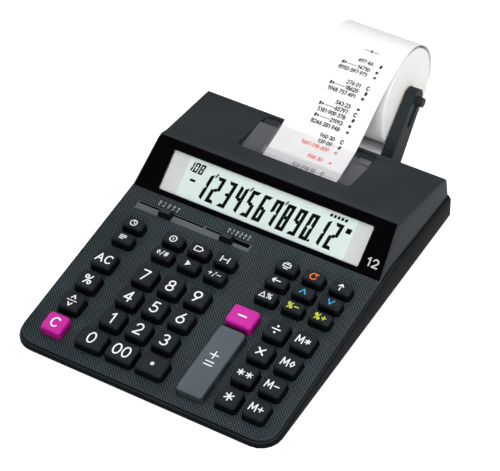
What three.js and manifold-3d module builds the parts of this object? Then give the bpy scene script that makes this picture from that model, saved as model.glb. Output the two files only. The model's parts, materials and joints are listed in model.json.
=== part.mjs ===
// Desktop printing calculator: sloping keyboard deck, display panel, and a printer fed from a paper roll.
// Millimetres, +Z up, keyboard towards -Y. Everything is laid out from the front edge of the case
// (y = 0), its middle (x = 0) and the ground (z = 0), and the finished model is moved over its plan centre.

import * as THREE from 'three';
import Module from 'manifold-3d';
import { mergeVertices } from 'three/addons/utils/BufferGeometryUtils.js';

const wasm = await Module();
wasm.setup();

// Counts of segments on round shapes
const CORNER_STEPS = 5;
const EDGE_STEPS = 3;
const KEY_CORNER_STEPS = 3;
const ROUND_STEPS = 24;
const SMALL_ROUND_STEPS = 14;
const ROLL_STEPS = 64;
const STRIP_STEPS = 90;
const WRAP_STEPS = 4;

// Clearances shared by all pieces
const GAP = 0.3;
const SHAFT_GAP = 0.25;
const OVERRUN = 2;

// Case in plan
const CASE_WIDTH = 195;
const CASE_DEPTH = 246;
const CASE_FRONT_RADIUS = 15;
const CASE_REAR_RADIUS = 3;
const CORNER_LEAST_RADIUS = 0.8;

// Lower case: floor, wall and the bright chamfer that forms its rim
const FOOT_HEIGHT = 3;
const FOOT_RADIUS = 7;
const FOOT_EDGE_X = 18;
const FOOT_FRONT_Y = 18;
const FOOT_REAR_FROM_REAR = -24;
const FLOOR_THICKNESS = 1.3;
const BOTTOM_CHAMFER = 1.2;
const LOWER_WALL = 1.6;
const WALL_FRONT_Z = 5.8;
const WALL_PEAK_FROM_REAR = -83;
const WALL_REAR_SLOPE = -0.054;
const RIM_IN = 1.43;
const RIM_UP = 2.76;

// Upper case: skirt inside the rim, deck, panel slope and printer housing
const SKIRT_GAP = 0.4;
const SKIRT_DEPTH = 3;
const UPPER_WALL = 1.8;
const DECK_THICKNESS = 1.8;
const DECK_FRONT_Z = 9.9;
const DECK_RISE = 15.1204;
const DECK_EDGE_RADIUS = 1;
const PANEL_FRONT_FROM_REAR = -99.2;
const PANEL_RUN = 30.9;
const PANEL_RISE = 23.2;
const RIDGE_SOFTENING = 1.9;
const HOUSING_SLOPE = -0.155;
const HOUSING_EDGE_RADIUS = 3.2;
const HOUSING_REAR_RADIUS = 6;
const HOUSING_SKIN = 2;
const HOUSING_SKIN_FADE = 8;
const SIDE_LEAN = 0.151;
const LEAN_START_Z = 24;

// Glossy panel sheet and the display module below it
const PANEL_SHEET = 1.8;
const PANEL_BOTTOM_SIDE = 3.3;
const PANEL_TOP_SIDE = 6.9;
const PANEL_SEAT_WALL = 1.3;
const WINDOW_SIDE = 20.8;
const WINDOW_START = 3.4;
const WINDOW_END = 32;
const MODULE_THICKNESS = 3.4;
const MODULE_MARGIN = 0.6;

// Keys: plan sizes, travel and section
const KEY_RISE = 6.96;
const KEY_TRAVEL = 2.2;
const KEY_SHOULDER = 1.7;
const KEY_SHOULDER_IN = 0.15;
const KEY_TOP_IN = 1;
const KEY_RADIUS = 2.2;
const KEY_TOP_RADIUS = 1.6;
const KEY_FLANGE = 0.9;
const KEY_FLANGE_THICKNESS = 0.8;
const KEY_HOLE_GAP = 0.35;
const KEY_PRESS_GAP = 0.2;
const KEY_WIDTH = 15.5;
const KEY_DEPTH = 15;
const SMALL_KEY_DEPTH = 9.5;
const WIDE_KEY_WIDTH = 20.4;
const MINUS_KEY_WIDTH = 19.5;
const MINUS_KEY_DEPTH = 15.5;
const PLUS_KEY_DEPTH = 57;

// Key layout on the deck, as plan places of the key tops, drawn up to these places
const LAYOUT_SIDE_X = 97.5;
const LAYOUT_END_Y = 146.8;
const COLUMN_PITCH = 20;
const WIDE_PITCH = 22.95;
const ROW_PITCH = 19.7;
const SMALL_ROW_PITCH = 13.6;
const FIRST_ROW_Y = 18.4;
const SMALL_ROW_Y = 98.6;
const LEFT_COLUMN_X = -73.6;
const LEFT_SMALL_X = -72.5;
const NUMBER_MIDDLE_X = -21.9;
const WIDE_MIDDLE_X = -22.35;
const CENTRE_SMALL_X = -21.4;
const RIGHT_SMALL_X = 57.5;
const PLUS_COLUMN_X = 32.5;
const PLUS_KEY_Y = 37.4;
const MINUS_KEY_Y = 77;
const OPERATOR_COLUMN_X = 57.3;
const MEMORY_COLUMN_X = 77.3;

// Slide switches in a shallow band behind the keys
const BAND_LEFT = -84;
const BAND_RIGHT = 5.2;
const BAND_FRONT_Y = 129.3;
const BAND_REAR_Y = 136.8;
const BAND_RECESS = 0.6;
const SLOT_FRONT_Y = 134.6;
const SLOT_REAR_Y = 136.1;
const MODE_SLOT = [-83.2, -32.2];
const DECIMAL_SLOT = [-30.7, 3.6];
const SLOT_WINDOW_LEFT = -8.5;
const SLOT_WINDOW_FRONT_Y = 132.8;
const MODE_KNOB_X = -60.4;
const DECIMAL_KNOB_X = -12.6;
const KNOB_WIDTH = 10;
const KNOB_FRONT_Y = 129.8;
const KNOB_REAR_Y = 135.6;
const KNOB_HEIGHT = 4.5;
const KNOB_TAPER = 0.9;
const KNOB_CHAMFER = 0.4;
const STEM_WIDTH = 6;
const KNOB_FOOT_WIDTH = 9;
const KNOB_FOOT_OVERLAP = 1.2;
const KNOB_FOOT_THICKNESS = 0.8;

// Membrane board under the keys, with the two switch bodies at its rear
const BOARD_THICKNESS = 0.9;
const BOARD_SIDE_X = 86.5;
const BOARD_FRONT_Y = 8;
const BOARD_REAR_Y = 131.5;
const BOARD_TONGUE_LEFT = -80;
const BOARD_TONGUE_RIGHT = 8;
const BOARD_TONGUE_Y = 138;
const SWITCH_FRONT_Y = 132.8;
const POST_RADIUS = 2;
const POST_LEFT_X = -60.7;
const POST_RIGHT_X = 15.6;
const POST_FRONT_Y = 28;
const POST_REAR_Y = 88;

// Case screws: bosses in the lower case, posts in the upper one
const BOSS_RADIUS = 4;
const BOSS_TOP_Z = 15;
const BOSS_BORE = 2.6;
const BOSS_BORE_DEPTH = 9;
const CASE_POST_RADIUS = 3.2;
const BOSS_FRONT_SIDE = 8.5;
const BOSS_FRONT_Y = 139;
const BOSS_REAR_SIDE = 13.5;
const BOSS_REAR_FROM_REAR = -20;

// Printer recess in the housing, its cover and the clear tear bar
const RECESS_LEFT_SIDE = 19.5;
const RECESS_RIGHT_SIDE = 11.2;
const RECESS_FRONT_FROM_REAR = -49.7;
const RECESS_REAR_FROM_REAR = -7.8;
const RECESS_RADIUS = 4;
const RECESS_COLLAR = 1.6;
const COLLAR_FRONT_Z = 39;
const COLLAR_SLOPE = -0.13;
const LEDGE_FRONT_FROM_REAR = -14.4;
const LEDGE_TOP_Z = 37.2;
const LEDGE_THICKNESS = 1.8;
const COVER_FRONT_FROM_REAR = -46.6;
const COVER_REAR_FROM_REAR = -17.2;
const COVER_FRONT_Z = 39.3;
const COVER_SLOPE = 0.03;
const COVER_THICKNESS = 1.6;
const COVER_BLOCK_GAP = 0.8;
const COVER_BLOCK_FRONT_FROM_REAR = -22;
const COVER_BLOCK_HEIGHT = 1.4;
const TEAR_SIDE = 1.5;
const TEAR_FRONT_FROM_REAR = -46.2;
const TEAR_REAR_FROM_REAR = -21;
const TEAR_FRONT_Z = 42.5;
const TEAR_REAR_Z = 48.3;
const TEAR_THICKNESS = 1;
const TEAR_LEG = 1;

// Paper: roll, core and the strip that runs through the printer and back over the roll
const PAPER_WIDTH = 57;
const PAPER_MIDDLE_X = 5;
const PAPER_THICKNESS = 0.3;
const ROLL_RADIUS = 35.5;
const CORE_RADIUS = 6;
const ROLL_FROM_CASE = 18.8;
const ROLL_LIFT = 4.3;
const FEED_SLOT_FROM_REAR = -1;
const FEED_SLOT_Z = 23;
const FEED_SLOT_BOTTOM = 21.2;
const FEED_SLOT_TOP = 26;
const FEED_SLOT_SIDE = 2;
const FEED_SLOT_REACH = 12;
const WEB_START_ANGLE = 265;
const WEB_INNER_FROM_REAR = -18;
const WEB_INNER_Z = 25.4;
const EXIT_FROM_REAR = -47.5;
const EXIT_Z = 41.2;
const BAR_UNDER_FROM_REAR = -21.5;
const BAR_UNDER_Z = 47.5;
const EXIT_BEND_SHARE = 0.2;
const LIFT_FROM_REAR = -10;
const LIFT_Z = 53;
const STRIP_MIDDLE_ANGLE = 136.45;
const STRIP_MIDDLE_GAP = 9.06;
const STRIP_APEX_PAST = 6.2;
const STRIP_APEX_OVER = 3.2;
const CURL_GAP = 2.2;
const CURL_END_GAP = 1.6;
const CURL_ANGLE = 42;
const CURL_END_ANGLE = -14;

// Roll holder: two arms on one cross bar, hinged on lugs at the rear of the lower case
const HINGE_FROM_REAR = 8.5;
const HINGE_Z = 9.5;
const ARM_PAPER_GAP = 0.7;
const ARM_THICKNESS = 7.4;
const ARM_FLARE = 2.2;
const ARM_TIP_RADIUS = 8.5;
const ARM_KNEE_RADIUS = 9.2;
const ARM_HEEL_RADIUS = 7.5;
const ARM_EYE_RADIUS = 7;
const ARM_KNEE_FROM_REAR = 21.3;
const ARM_KNEE_Z = 10.6;
const CROSS_BAR_RADIUS = 4.2;
const JOURNAL_RADIUS = 3;
const PIN_CLEARANCE = 0.4;
const PIN_LENGTH = 4.5;
const ARM_KNOB_RADIUS = 3.4;
const ARM_KNOB_LENGTH = 5;
const GROOVE_RADIUS = 3.8;
const GROOVE_LENGTH = 16;
const GROOVE_DEPTH = 0.8;
const LUG_RADIUS = 5.2;
const LUG_THICKNESS = 5;
const LUG_GAP = 0.8;

// Printer mechanism: base, side plates, motor, feed roller and type drum
const MECH_LEFT_SIDE = 12.5;
const MECH_RIGHT_SIDE = 8.5;
const MECH_FRONT_FROM_REAR = -61.5;
const MECH_REAR_FROM_REAR = -22;
const MECH_BASE_Z = 21.3;
const MECH_PLATE = 2;
const MECH_BASE_THICKNESS = 1.3;
const MECH_TOP_Z = 37.3;
const MOTOR_RADIUS = 5;
const MOTOR_FROM_REAR = -29;
const MOTOR_Z = 31.6;
const MOTOR_LENGTH = 40;
const ROLLER_RADIUS = 6.2;
const ROLLER_FROM_REAR = -42;
const ROLLER_Z = 31;
const DRUM_RADIUS = 5.4;
const DRUM_Z = 33.6;
const DRUM_PAPER_GAP = 0.5;
const ROLLER_OVERHANG = 2;
const SHAFT_RADIUS = 1.5;
const SHAFT_STUB = 1;
const MECH_POST_RADIUS = 4;
const MECH_POST_FROM_REAR = -30;

// Battery bay in the lower case, with its door and four cells
const CELL_RADIUS = 7;
const CELL_LENGTH = 49.3;
const CELL_NUB = 1.2;
const CELL_NUB_RADIUS = 2.7;
const CELL_ROW_GAP = 0.3;
const CONTACT_PLATE = 0.6;
const BAY_FRONT_FROM_REAR = -94;
const BAY_SIDE_GAP = 0.6;
const BAY_WALL = 1.4;
const DOOR_THICKNESS = 1.4;
const DOOR_GAP = 0.6;
const DOOR_PULL_WIDTH = 14;
const DOOR_PULL_DEPTH = 3;
const DOOR_PULL_CUT = 0.6;

// Power inlet at the rear
const INLET_SIDE = 25.5;
const INLET_Z = 12;
const INLET_RADIUS = 3;
const INLET_DEPTH = 10;
const INLET_PIN_RADIUS = 1;
const INLET_PIN_SHORT = 1.5;
const INLET_WALL = 2.6;

// Colours seen on the object
const BLACK = 0x1b1d1f;
const DECK_GREY = 0x2d3234;
const CASE_DARK = 0x15191b;
const GLOSS_BLACK = 0x08090a;
const DISPLAY_AQUA = 0xd7e8e4;
const MAGENTA = 0xc52194;
const SLATE = 0x515b60;
const PAPER_WHITE = 0xf4f4f2;
const CLEAR_GREY = 0xcfd3d4;
const STEEL = 0x9a9da0;
const BOARD_GREEN = 0x1f4a33;
const CELL_COLOUR = 0x8c6f35;

// Places of the rear parts, which keep their distance from the case's rear wall
const PANEL_FRONT_Y = CASE_DEPTH + PANEL_FRONT_FROM_REAR;
const WALL_PEAK_Y = CASE_DEPTH + WALL_PEAK_FROM_REAR;
const FOOT_REAR_Y = CASE_DEPTH + FOOT_REAR_FROM_REAR;
const BOSS_REAR_Y = CASE_DEPTH + BOSS_REAR_FROM_REAR;
const RECESS_FRONT_Y = CASE_DEPTH + RECESS_FRONT_FROM_REAR;
const RECESS_REAR_Y = CASE_DEPTH + RECESS_REAR_FROM_REAR;
const LEDGE_FRONT_Y = CASE_DEPTH + LEDGE_FRONT_FROM_REAR;
const COVER_FRONT_Y = CASE_DEPTH + COVER_FRONT_FROM_REAR;
const COVER_REAR_Y = CASE_DEPTH + COVER_REAR_FROM_REAR;
const COVER_BLOCK_FRONT_Y = CASE_DEPTH + COVER_BLOCK_FRONT_FROM_REAR;
const TEAR_FRONT_Y = CASE_DEPTH + TEAR_FRONT_FROM_REAR;
const TEAR_REAR_Y = CASE_DEPTH + TEAR_REAR_FROM_REAR;
const FEED_SLOT_Y = CASE_DEPTH + FEED_SLOT_FROM_REAR;
const WEB_INNER_Y = CASE_DEPTH + WEB_INNER_FROM_REAR;
const EXIT_Y = CASE_DEPTH + EXIT_FROM_REAR;
const BAR_UNDER_Y = CASE_DEPTH + BAR_UNDER_FROM_REAR;
const LIFT_Y = CASE_DEPTH + LIFT_FROM_REAR;
const HINGE_Y = CASE_DEPTH + HINGE_FROM_REAR;
const ARM_KNEE_Y = CASE_DEPTH + ARM_KNEE_FROM_REAR;
const MECH_FRONT_Y = CASE_DEPTH + MECH_FRONT_FROM_REAR;
const MECH_REAR_Y = CASE_DEPTH + MECH_REAR_FROM_REAR;
const MOTOR_Y = CASE_DEPTH + MOTOR_FROM_REAR;
const ROLLER_Y = CASE_DEPTH + ROLLER_FROM_REAR;
const MECH_POST_Y = CASE_DEPTH + MECH_POST_FROM_REAR;
const BAY_FRONT_Y = CASE_DEPTH + BAY_FRONT_FROM_REAR;
const ROLL_Y = CASE_DEPTH + ROLL_FROM_CASE + ROLL_RADIUS;
const ROLL_Z = ROLL_LIFT + ROLL_RADIUS;
const STRIP_APEX_Y = ROLL_Y + STRIP_APEX_PAST;
const STRIP_APEX_Z = ROLL_Z + ROLL_RADIUS + STRIP_APEX_OVER;

// Places that keep their distance from the case's sides or from the paper's edges
const PAPER_LEFT = PAPER_MIDDLE_X - PAPER_WIDTH / 2;
const PAPER_RIGHT = PAPER_MIDDLE_X + PAPER_WIDTH / 2;
const PANEL_BOTTOM_HALF = CASE_WIDTH / 2 - PANEL_BOTTOM_SIDE;
const PANEL_TOP_HALF = CASE_WIDTH / 2 - PANEL_TOP_SIDE;
const WINDOW_HALF = CASE_WIDTH / 2 - WINDOW_SIDE;
const BOSS_FRONT_X = CASE_WIDTH / 2 - BOSS_FRONT_SIDE;
const BOSS_REAR_X = CASE_WIDTH / 2 - BOSS_REAR_SIDE;
const INLET_X = CASE_WIDTH / 2 - INLET_SIDE;
const RECESS_LEFT = PAPER_LEFT - RECESS_LEFT_SIDE;
const RECESS_RIGHT = PAPER_RIGHT + RECESS_RIGHT_SIDE;
const COVER_BLOCK_LEFT = PAPER_RIGHT + TEAR_SIDE + COVER_BLOCK_GAP;
const ARM_INNER = PAPER_WIDTH / 2 + ARM_PAPER_GAP;
const MECH_LEFT = PAPER_LEFT - MECH_LEFT_SIDE;
const MECH_RIGHT = PAPER_RIGHT + MECH_RIGHT_SIDE;

// The deck layout is drawn up to the case's right side and the foot of the panel, and follows both
const ACROSS_SHARE = CASE_WIDTH / 2 / LAYOUT_SIDE_X;
const ALONG_SHARE = PANEL_FRONT_Y / LAYOUT_END_Y;
const DECK_SLOPE = DECK_RISE / PANEL_FRONT_Y;

// Sizes that follow from the ones above
const FLOOR_TOP_Z = FOOT_HEIGHT + FLOOR_THICKNESS;
const SKIRT_INSET = LOWER_WALL + SKIRT_GAP;
const RIDGE_Y = PANEL_FRONT_Y + PANEL_RUN;
const DECK_ANGLE = Math.atan(DECK_SLOPE);
const PANEL_ANGLE = Math.atan2(PANEL_RISE, PANEL_RUN);
const PANEL_LENGTH = Math.hypot(PANEL_RUN, PANEL_RISE);
const HALF_TURN = Math.PI;
const QUARTER_TURN = Math.PI / 2;
const DEGREE = Math.PI / 180;
const UNDER_ANGLE = 270;

// Height of the deck plane above a plan place
function deckHeight(y) {
  return DECK_FRONT_Z + DECK_SLOPE * y;
}

const RIDGE_Z = deckHeight(PANEL_FRONT_Y) + PANEL_RISE;

// Height at y on a broken line of [y, z] places, level beyond its ends
function heightAlong(line, y) {
  if (y <= line[0][0]) {
    return line[0][1];
  }
  for (let i = 1; i < line.length; i += 1) {
    if (y <= line[i][0]) {
      const [y0, z0] = line[i - 1];
      const [y1, z1] = line[i];
      return z0 + (z1 - z0) * (y - y0) / (y1 - y0);
    }
  }
  return line[line.length - 1][1];
}

// Height of the housing's sloping top behind the ridge
function housingHeight(y) {
  return RIDGE_Z + HOUSING_SLOPE * (y - RIDGE_Y);
}

// Outside of the case from the front edge over the panel to the rear
const TOP_LINE = [
  [0, deckHeight(0)],
  [PANEL_FRONT_Y, deckHeight(PANEL_FRONT_Y)],
  [RIDGE_Y - RIDGE_SOFTENING, RIDGE_Z - RIDGE_SOFTENING * PANEL_RISE / PANEL_RUN],
  [RIDGE_Y + RIDGE_SOFTENING, housingHeight(RIDGE_Y + RIDGE_SOFTENING)],
  [CASE_DEPTH, housingHeight(CASE_DEPTH)],
];

// Inside of the same skin, deeper under the panel where the sheet is let in
const SEAT_DROP = (PANEL_SHEET + GAP + PANEL_SEAT_WALL) / Math.cos(PANEL_ANGLE);
const INNER_LINE = [
  [0, deckHeight(0) - DECK_THICKNESS],
  [PANEL_FRONT_Y - SEAT_DROP, deckHeight(PANEL_FRONT_Y - SEAT_DROP) - DECK_THICKNESS],
  [PANEL_FRONT_Y, deckHeight(PANEL_FRONT_Y) - SEAT_DROP],
  [RIDGE_Y, RIDGE_Z - SEAT_DROP],
  [RIDGE_Y + HOUSING_SKIN_FADE, housingHeight(RIDGE_Y + HOUSING_SKIN_FADE) - HOUSING_SKIN],
  [CASE_DEPTH, housingHeight(CASE_DEPTH) - HOUSING_SKIN],
];

// Rounding of the skin's outer edge along the sides
const EDGE_LINE = [
  [RIDGE_Y + RIDGE_SOFTENING, DECK_EDGE_RADIUS],
  [RIDGE_Y + HOUSING_SKIN_FADE, HOUSING_EDGE_RADIUS],
];

// Top of the lower case's upright wall
function wallTop(y) {
  const rising = WALL_FRONT_Z + DECK_SLOPE * Math.min(y, WALL_PEAK_Y);
  return rising + WALL_REAR_SLOPE * Math.max(0, y - WALL_PEAK_Y);
}

// Plan places where any of these lines bends
const SIDE_BREAKS = [
  ...new Set([
    PANEL_FRONT_Y,
    WALL_PEAK_Y,
    ...TOP_LINE.map((place) => place[0]),
    ...INNER_LINE.map((place) => place[0]),
    ...EDGE_LINE.map((place) => place[0]),
  ]),
].filter((y) => y > CASE_FRONT_RADIUS + OVERRUN && y < CASE_DEPTH - CASE_REAR_RADIUS - OVERRUN)
  .sort((a, b) => a - b);

// Matrices: profiles drawn as (y, z) and run along X, shapes on the deck, shapes on the panel
const ALONG_X = new THREE.Matrix4().set(0, 0, 1, 0, 1, 0, 0, 0, 0, 1, 0, 0, 0, 0, 0, 1);
const ON_DECK = new THREE.Matrix4().makeTranslation(0, 0, DECK_FRONT_Z)
  .multiply(new THREE.Matrix4().makeRotationX(DECK_ANGLE));
const ON_PANEL = new THREE.Matrix4().makeTranslation(0, PANEL_FRONT_Y, deckHeight(PANEL_FRONT_Y))
  .multiply(new THREE.Matrix4().makeRotationX(PANEL_ANGLE));
const UPRIGHT = new THREE.Matrix4();

// Places across and along the deck of a place in the layout, and of a key whose top is at that place
function acrossDeck(x) {
  return x * ACROSS_SHARE;
}

function alongDeck(y) {
  return y * ALONG_SHARE / Math.cos(DECK_ANGLE);
}

function keyAlongDeck(y) {
  return alongDeck(y) + KEY_RISE * Math.tan(DECK_ANGLE);
}

// A closed three.js geometry as a solid
function solidOf(geometry) {
  const bare = geometry.clone();
  bare.deleteAttribute('normal');
  bare.deleteAttribute('uv');
  const welded = mergeVertices(bare);
  return new wasm.Manifold(new wasm.Mesh({
    numProp: 3,
    vertProperties: new Float32Array(welded.attributes.position.array),
    triVerts: new Uint32Array(welded.index.array),
  }));
}

// A solid as a named mesh of one colour
function meshOf(name, solid, colour, roughness = 0.5, metalness = 0) {
  const data = solid.getMesh();
  const geometry = new THREE.BufferGeometry();
  const places = new Float32Array(data.numVert * 3);
  for (let i = 0; i < data.numVert; i += 1) {
    places.set(data.vertProperties.subarray(i * data.numProp, i * data.numProp + 3), i * 3);
  }
  geometry.setAttribute('position', new THREE.BufferAttribute(places, 3));
  geometry.setIndex(new THREE.BufferAttribute(new Uint32Array(data.triVerts), 1));
  geometry.computeVertexNormals();
  const material = new THREE.MeshStandardMaterial({ color: colour, roughness, metalness });
  const mesh = new THREE.Mesh(geometry, material);
  mesh.name = name;
  return mesh;
}

// Solid between two heights over a flat outline
function prism(points, low, high, matrix = UPRIGHT) {
  const shape = new THREE.Shape(points.map(([x, y]) => new THREE.Vector2(x, y)));
  const geometry = new THREE.ExtrudeGeometry(shape, { depth: high - low, bevelEnabled: false });
  geometry.translate(0, 0, low);
  geometry.applyMatrix4(matrix);
  return solidOf(geometry);
}

// Solid from a (y, z) profile between two x places
function profile(points, left, right) {
  return prism(points, left, right, ALONG_X);
}

function box(left, right, front, rear, bottom, top) {
  return prism([[left, front], [right, front], [right, rear], [left, rear]], bottom, top);
}

// Points of a circle
function circle(x, y, radius, steps = ROUND_STEPS) {
  const points = [];
  for (let i = 0; i < steps; i += 1) {
    const turn = 2 * HALF_TURN * i / steps;
    points.push([x + radius * Math.cos(turn), y + radius * Math.sin(turn)]);
  }
  return points;
}

// Outline that wraps two circles
function wrapped(y0, z0, radius0, y1, z1, radius1, steps = ROUND_STEPS) {
  const heading = Math.atan2(z1 - z0, y1 - y0);
  const spread = Math.acos((radius0 - radius1) / Math.hypot(y1 - y0, z1 - z0));
  const half = steps / 2;
  const points = [];
  for (let i = 0; i <= half; i += 1) {
    const turn = heading + spread + (2 * HALF_TURN - 2 * spread) * i / half;
    points.push([y0 + radius0 * Math.cos(turn), z0 + radius0 * Math.sin(turn)]);
  }
  for (let i = 0; i <= half; i += 1) {
    const turn = heading - spread + 2 * spread * i / half;
    points.push([y1 + radius1 * Math.cos(turn), z1 + radius1 * Math.sin(turn)]);
  }
  return points;
}

// Rounded rectangle, from its front right corner and counter-clockwise
function roundedRectangle(x, y, halfWidth, halfDepth, radius, steps = KEY_CORNER_STEPS) {
  const points = [];
  const corners = [[1, -1], [1, 1], [-1, 1], [-1, -1]];
  corners.forEach(([sideX, sideY], corner) => {
    for (let i = 0; i <= steps; i += 1) {
      const turn = (corner - 1) * QUARTER_TURN + QUARTER_TURN * i / steps;
      const centreX = x + sideX * (halfWidth - radius);
      const centreY = y + sideY * (halfDepth - radius);
      points.push([centreX + radius * Math.cos(turn), centreY + radius * Math.sin(turn)]);
    }
  });
  return points;
}

// Solid through rings of equal count, each ring mirror-symmetric and counter-clockwise from its front
function loft(rings, matrix = UPRIGHT) {
  const count = rings[0].length;
  const places = rings.flat(2);
  const faces = [];
  for (let level = 0; level + 1 < rings.length; level += 1) {
    for (let i = 0; i < count; i += 1) {
      const a = level * count + i;
      const b = level * count + (i + 1) % count;
      faces.push(a, b, b + count, a, b + count, a + count);
    }
  }
  const last = (rings.length - 1) * count;
  for (let i = 0; i + 1 < count / 2; i += 1) {
    const mirror = count - 1 - i;
    faces.push(last + i, last + i + 1, last + mirror - 1, last + i, last + mirror - 1, last + mirror);
    faces.push(i, mirror - 1, i + 1, i, mirror, mirror - 1);
  }
  const geometry = new THREE.BufferGeometry();
  geometry.setAttribute('position', new THREE.BufferAttribute(new Float32Array(places), 3));
  geometry.setIndex(faces);
  geometry.applyMatrix4(matrix);
  return solidOf(geometry);
}

// Right half of the case outline at an inset, front to rear, with its outward normals; the places of
// the rear corner are marked
function planChain(inset) {
  const side = CASE_WIDTH / 2 - inset;
  const frontRadius = CASE_FRONT_RADIUS - inset;
  const rearRadius = Math.max(CASE_REAR_RADIUS - inset, CORNER_LEAST_RADIUS);
  const chain = [];
  for (let i = 0; i <= CORNER_STEPS; i += 1) {
    const turn = QUARTER_TURN * i / CORNER_STEPS;
    const nx = Math.sin(turn);
    const ny = -Math.cos(turn);
    const x = side - frontRadius + frontRadius * nx;
    chain.push({ x, y: CASE_FRONT_RADIUS + frontRadius * ny, nx, ny, rear: false });
  }
  for (const y of SIDE_BREAKS) {
    chain.push({ x: side, y, nx: 1, ny: 0, rear: false });
  }
  for (let i = 0; i <= CORNER_STEPS; i += 1) {
    const turn = QUARTER_TURN * i / CORNER_STEPS;
    const nx = Math.cos(turn);
    const ny = Math.sin(turn);
    const y = CASE_DEPTH - inset - rearRadius + rearRadius * ny;
    chain.push({ x: side - rearRadius + rearRadius * nx, y, nx, ny, rear: true });
  }
  return chain;
}

// Full ring from a right half chain, with a height for each place
function ringOf(chain, height) {
  const right = chain.map((place) => [place.x, place.y, height(place)]);
  const left = [...right].reverse().map(([x, y, z]) => [-x, y, z]);
  return [...right, ...left];
}

// A place of the case outline moved inwards and up to a step of the rounded top edge. The sides lean
// inwards; the rear wall is upright with a larger rounding, and the rear corner moves along with both.
function edgePlace(place, turn, topLine, thinner) {
  const sideRadius = Math.max(heightAlong(EDGE_LINE, place.y) - thinner, DECK_EDGE_RADIUS / 2);
  const rearRadius = HOUSING_REAR_RADIUS - thinner;
  const rearShare = place.rear ? place.ny ** 2 : 0;
  const radius = sideRadius + (rearRadius - sideRadius) * rearShare;
  const top = heightAlong(topLine, place.y - place.ny * radius);
  const sideZ = top - sideRadius * (1 - Math.sin(turn));
  const inward = sideRadius * (1 - Math.cos(turn)) + SIDE_LEAN * Math.max(0, sideZ - LEAN_START_Z);
  const z = top - radius * (1 - Math.sin(turn));
  if (place.rear) {
    return { x: place.x - inward, y: place.y - rearRadius * (1 - Math.cos(turn)), z };
  }
  return { x: place.x - place.nx * inward, y: place.y - place.ny * inward, z };
}

// Body of the upper case at an inset, from a bottom height to a top line with a rounded edge
function upperBody(inset, bottom, topLine, thinner) {
  const base = planChain(inset);
  const rings = [ringOf(base, (place) => bottom(place.y))];
  for (let step = 0; step <= EDGE_STEPS; step += 1) {
    const turn = QUARTER_TURN * step / EDGE_STEPS;
    const moved = base.map((place) => edgePlace(place, turn, topLine, thinner));
    rings.push(ringOf(moved, (place) => place.z));
  }
  return loft(rings);
}

// Outline of a sheet on the panel that narrows upwards, grown by a margin
function panelOutline(margin) {
  return [
    [-PANEL_BOTTOM_HALF - margin, -margin],
    [PANEL_BOTTOM_HALF + margin, -margin],
    [PANEL_TOP_HALF + margin, PANEL_LENGTH + margin],
    [-PANEL_TOP_HALF - margin, PANEL_LENGTH + margin],
  ];
}

// Window opening on the panel, grown by a margin
function windowOutline(margin) {
  return [
    [-WINDOW_HALF - margin, WINDOW_START - margin],
    [WINDOW_HALF + margin, WINDOW_START - margin],
    [WINDOW_HALF + margin, WINDOW_END + margin],
    [-WINDOW_HALF - margin, WINDOW_END + margin],
  ];
}

// All keys with name, plan place, plan size and colour
function keyTable() {
  const keys = [];
  const add = (name, x, y, width, depth, colour = BLACK) => {
    keys.push({
      name: `key_${name}`,
      x: acrossDeck(x),
      y: keyAlongDeck(y),
      width: acrossDeck(width),
      depth: depth * ALONG_SHARE,
      colour,
    });
  };
  const row = (index) => FIRST_ROW_Y + index * ROW_PITCH;
  const smallRow = (index) => SMALL_ROW_Y + index * SMALL_ROW_PITCH;

  ['item', 'time'].forEach((name, i) => add(name, LEFT_SMALL_X, smallRow(i), KEY_WIDTH, SMALL_KEY_DEPTH));
  ['clear', 'markup', 'percent', 'clear_all'].forEach((name, i) => {
    add(name, LEFT_COLUMN_X, row(i), KEY_WIDTH, KEY_DEPTH, name === 'clear' ? MAGENTA : BLACK);
  });
  [['diamond', 'arrow', 'sign'], ['cost', 'sell', 'margin']].forEach((names, line) => {
    names.forEach((name, i) => {
      add(name, CENTRE_SMALL_X + (i - 1) * COLUMN_PITCH, smallRow(line), KEY_WIDTH, SMALL_KEY_DEPTH);
    });
  });
  [['1', '2', '3'], ['4', '5', '6'], ['7', '8', '9']].forEach((names, line) => {
    names.forEach((name, i) => {
      add(name, NUMBER_MIDDLE_X + (i - 1) * COLUMN_PITCH, row(line + 1), KEY_WIDTH, KEY_DEPTH);
    });
  });
  ['0', '00', 'point'].forEach((name, i) => {
    add(name, WIDE_MIDDLE_X + (i - 1) * WIDE_PITCH, row(0), WIDE_KEY_WIDTH, KEY_DEPTH);
  });
  const rightNames = [
    ['delta', 'tax_minus', 'tax_plus'],
    ['correct', 'up', 'down'],
    ['print', 'reprint', 'feed'],
  ];
  rightNames.forEach((names, line) => {
    names.forEach((name, i) => {
      add(name, RIGHT_SMALL_X + (i - 1) * COLUMN_PITCH, smallRow(line), KEY_WIDTH, SMALL_KEY_DEPTH);
    });
  });
  add('plus', PLUS_COLUMN_X, PLUS_KEY_Y, MINUS_KEY_WIDTH, PLUS_KEY_DEPTH, SLATE);
  add('minus', PLUS_COLUMN_X, MINUS_KEY_Y, MINUS_KEY_WIDTH, MINUS_KEY_DEPTH, MAGENTA);
  ['total', 'grand_total', 'times', 'divide'].forEach((name, i) => {
    add(name, OPERATOR_COLUMN_X, row(i), KEY_WIDTH, KEY_DEPTH);
  });
  ['memory_plus', 'memory_minus', 'memory_diamond', 'memory_total'].forEach((name, i) => {
    add(name, MEMORY_COLUMN_X, row(i), KEY_WIDTH, KEY_DEPTH);
  });
  return keys;
}

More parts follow.
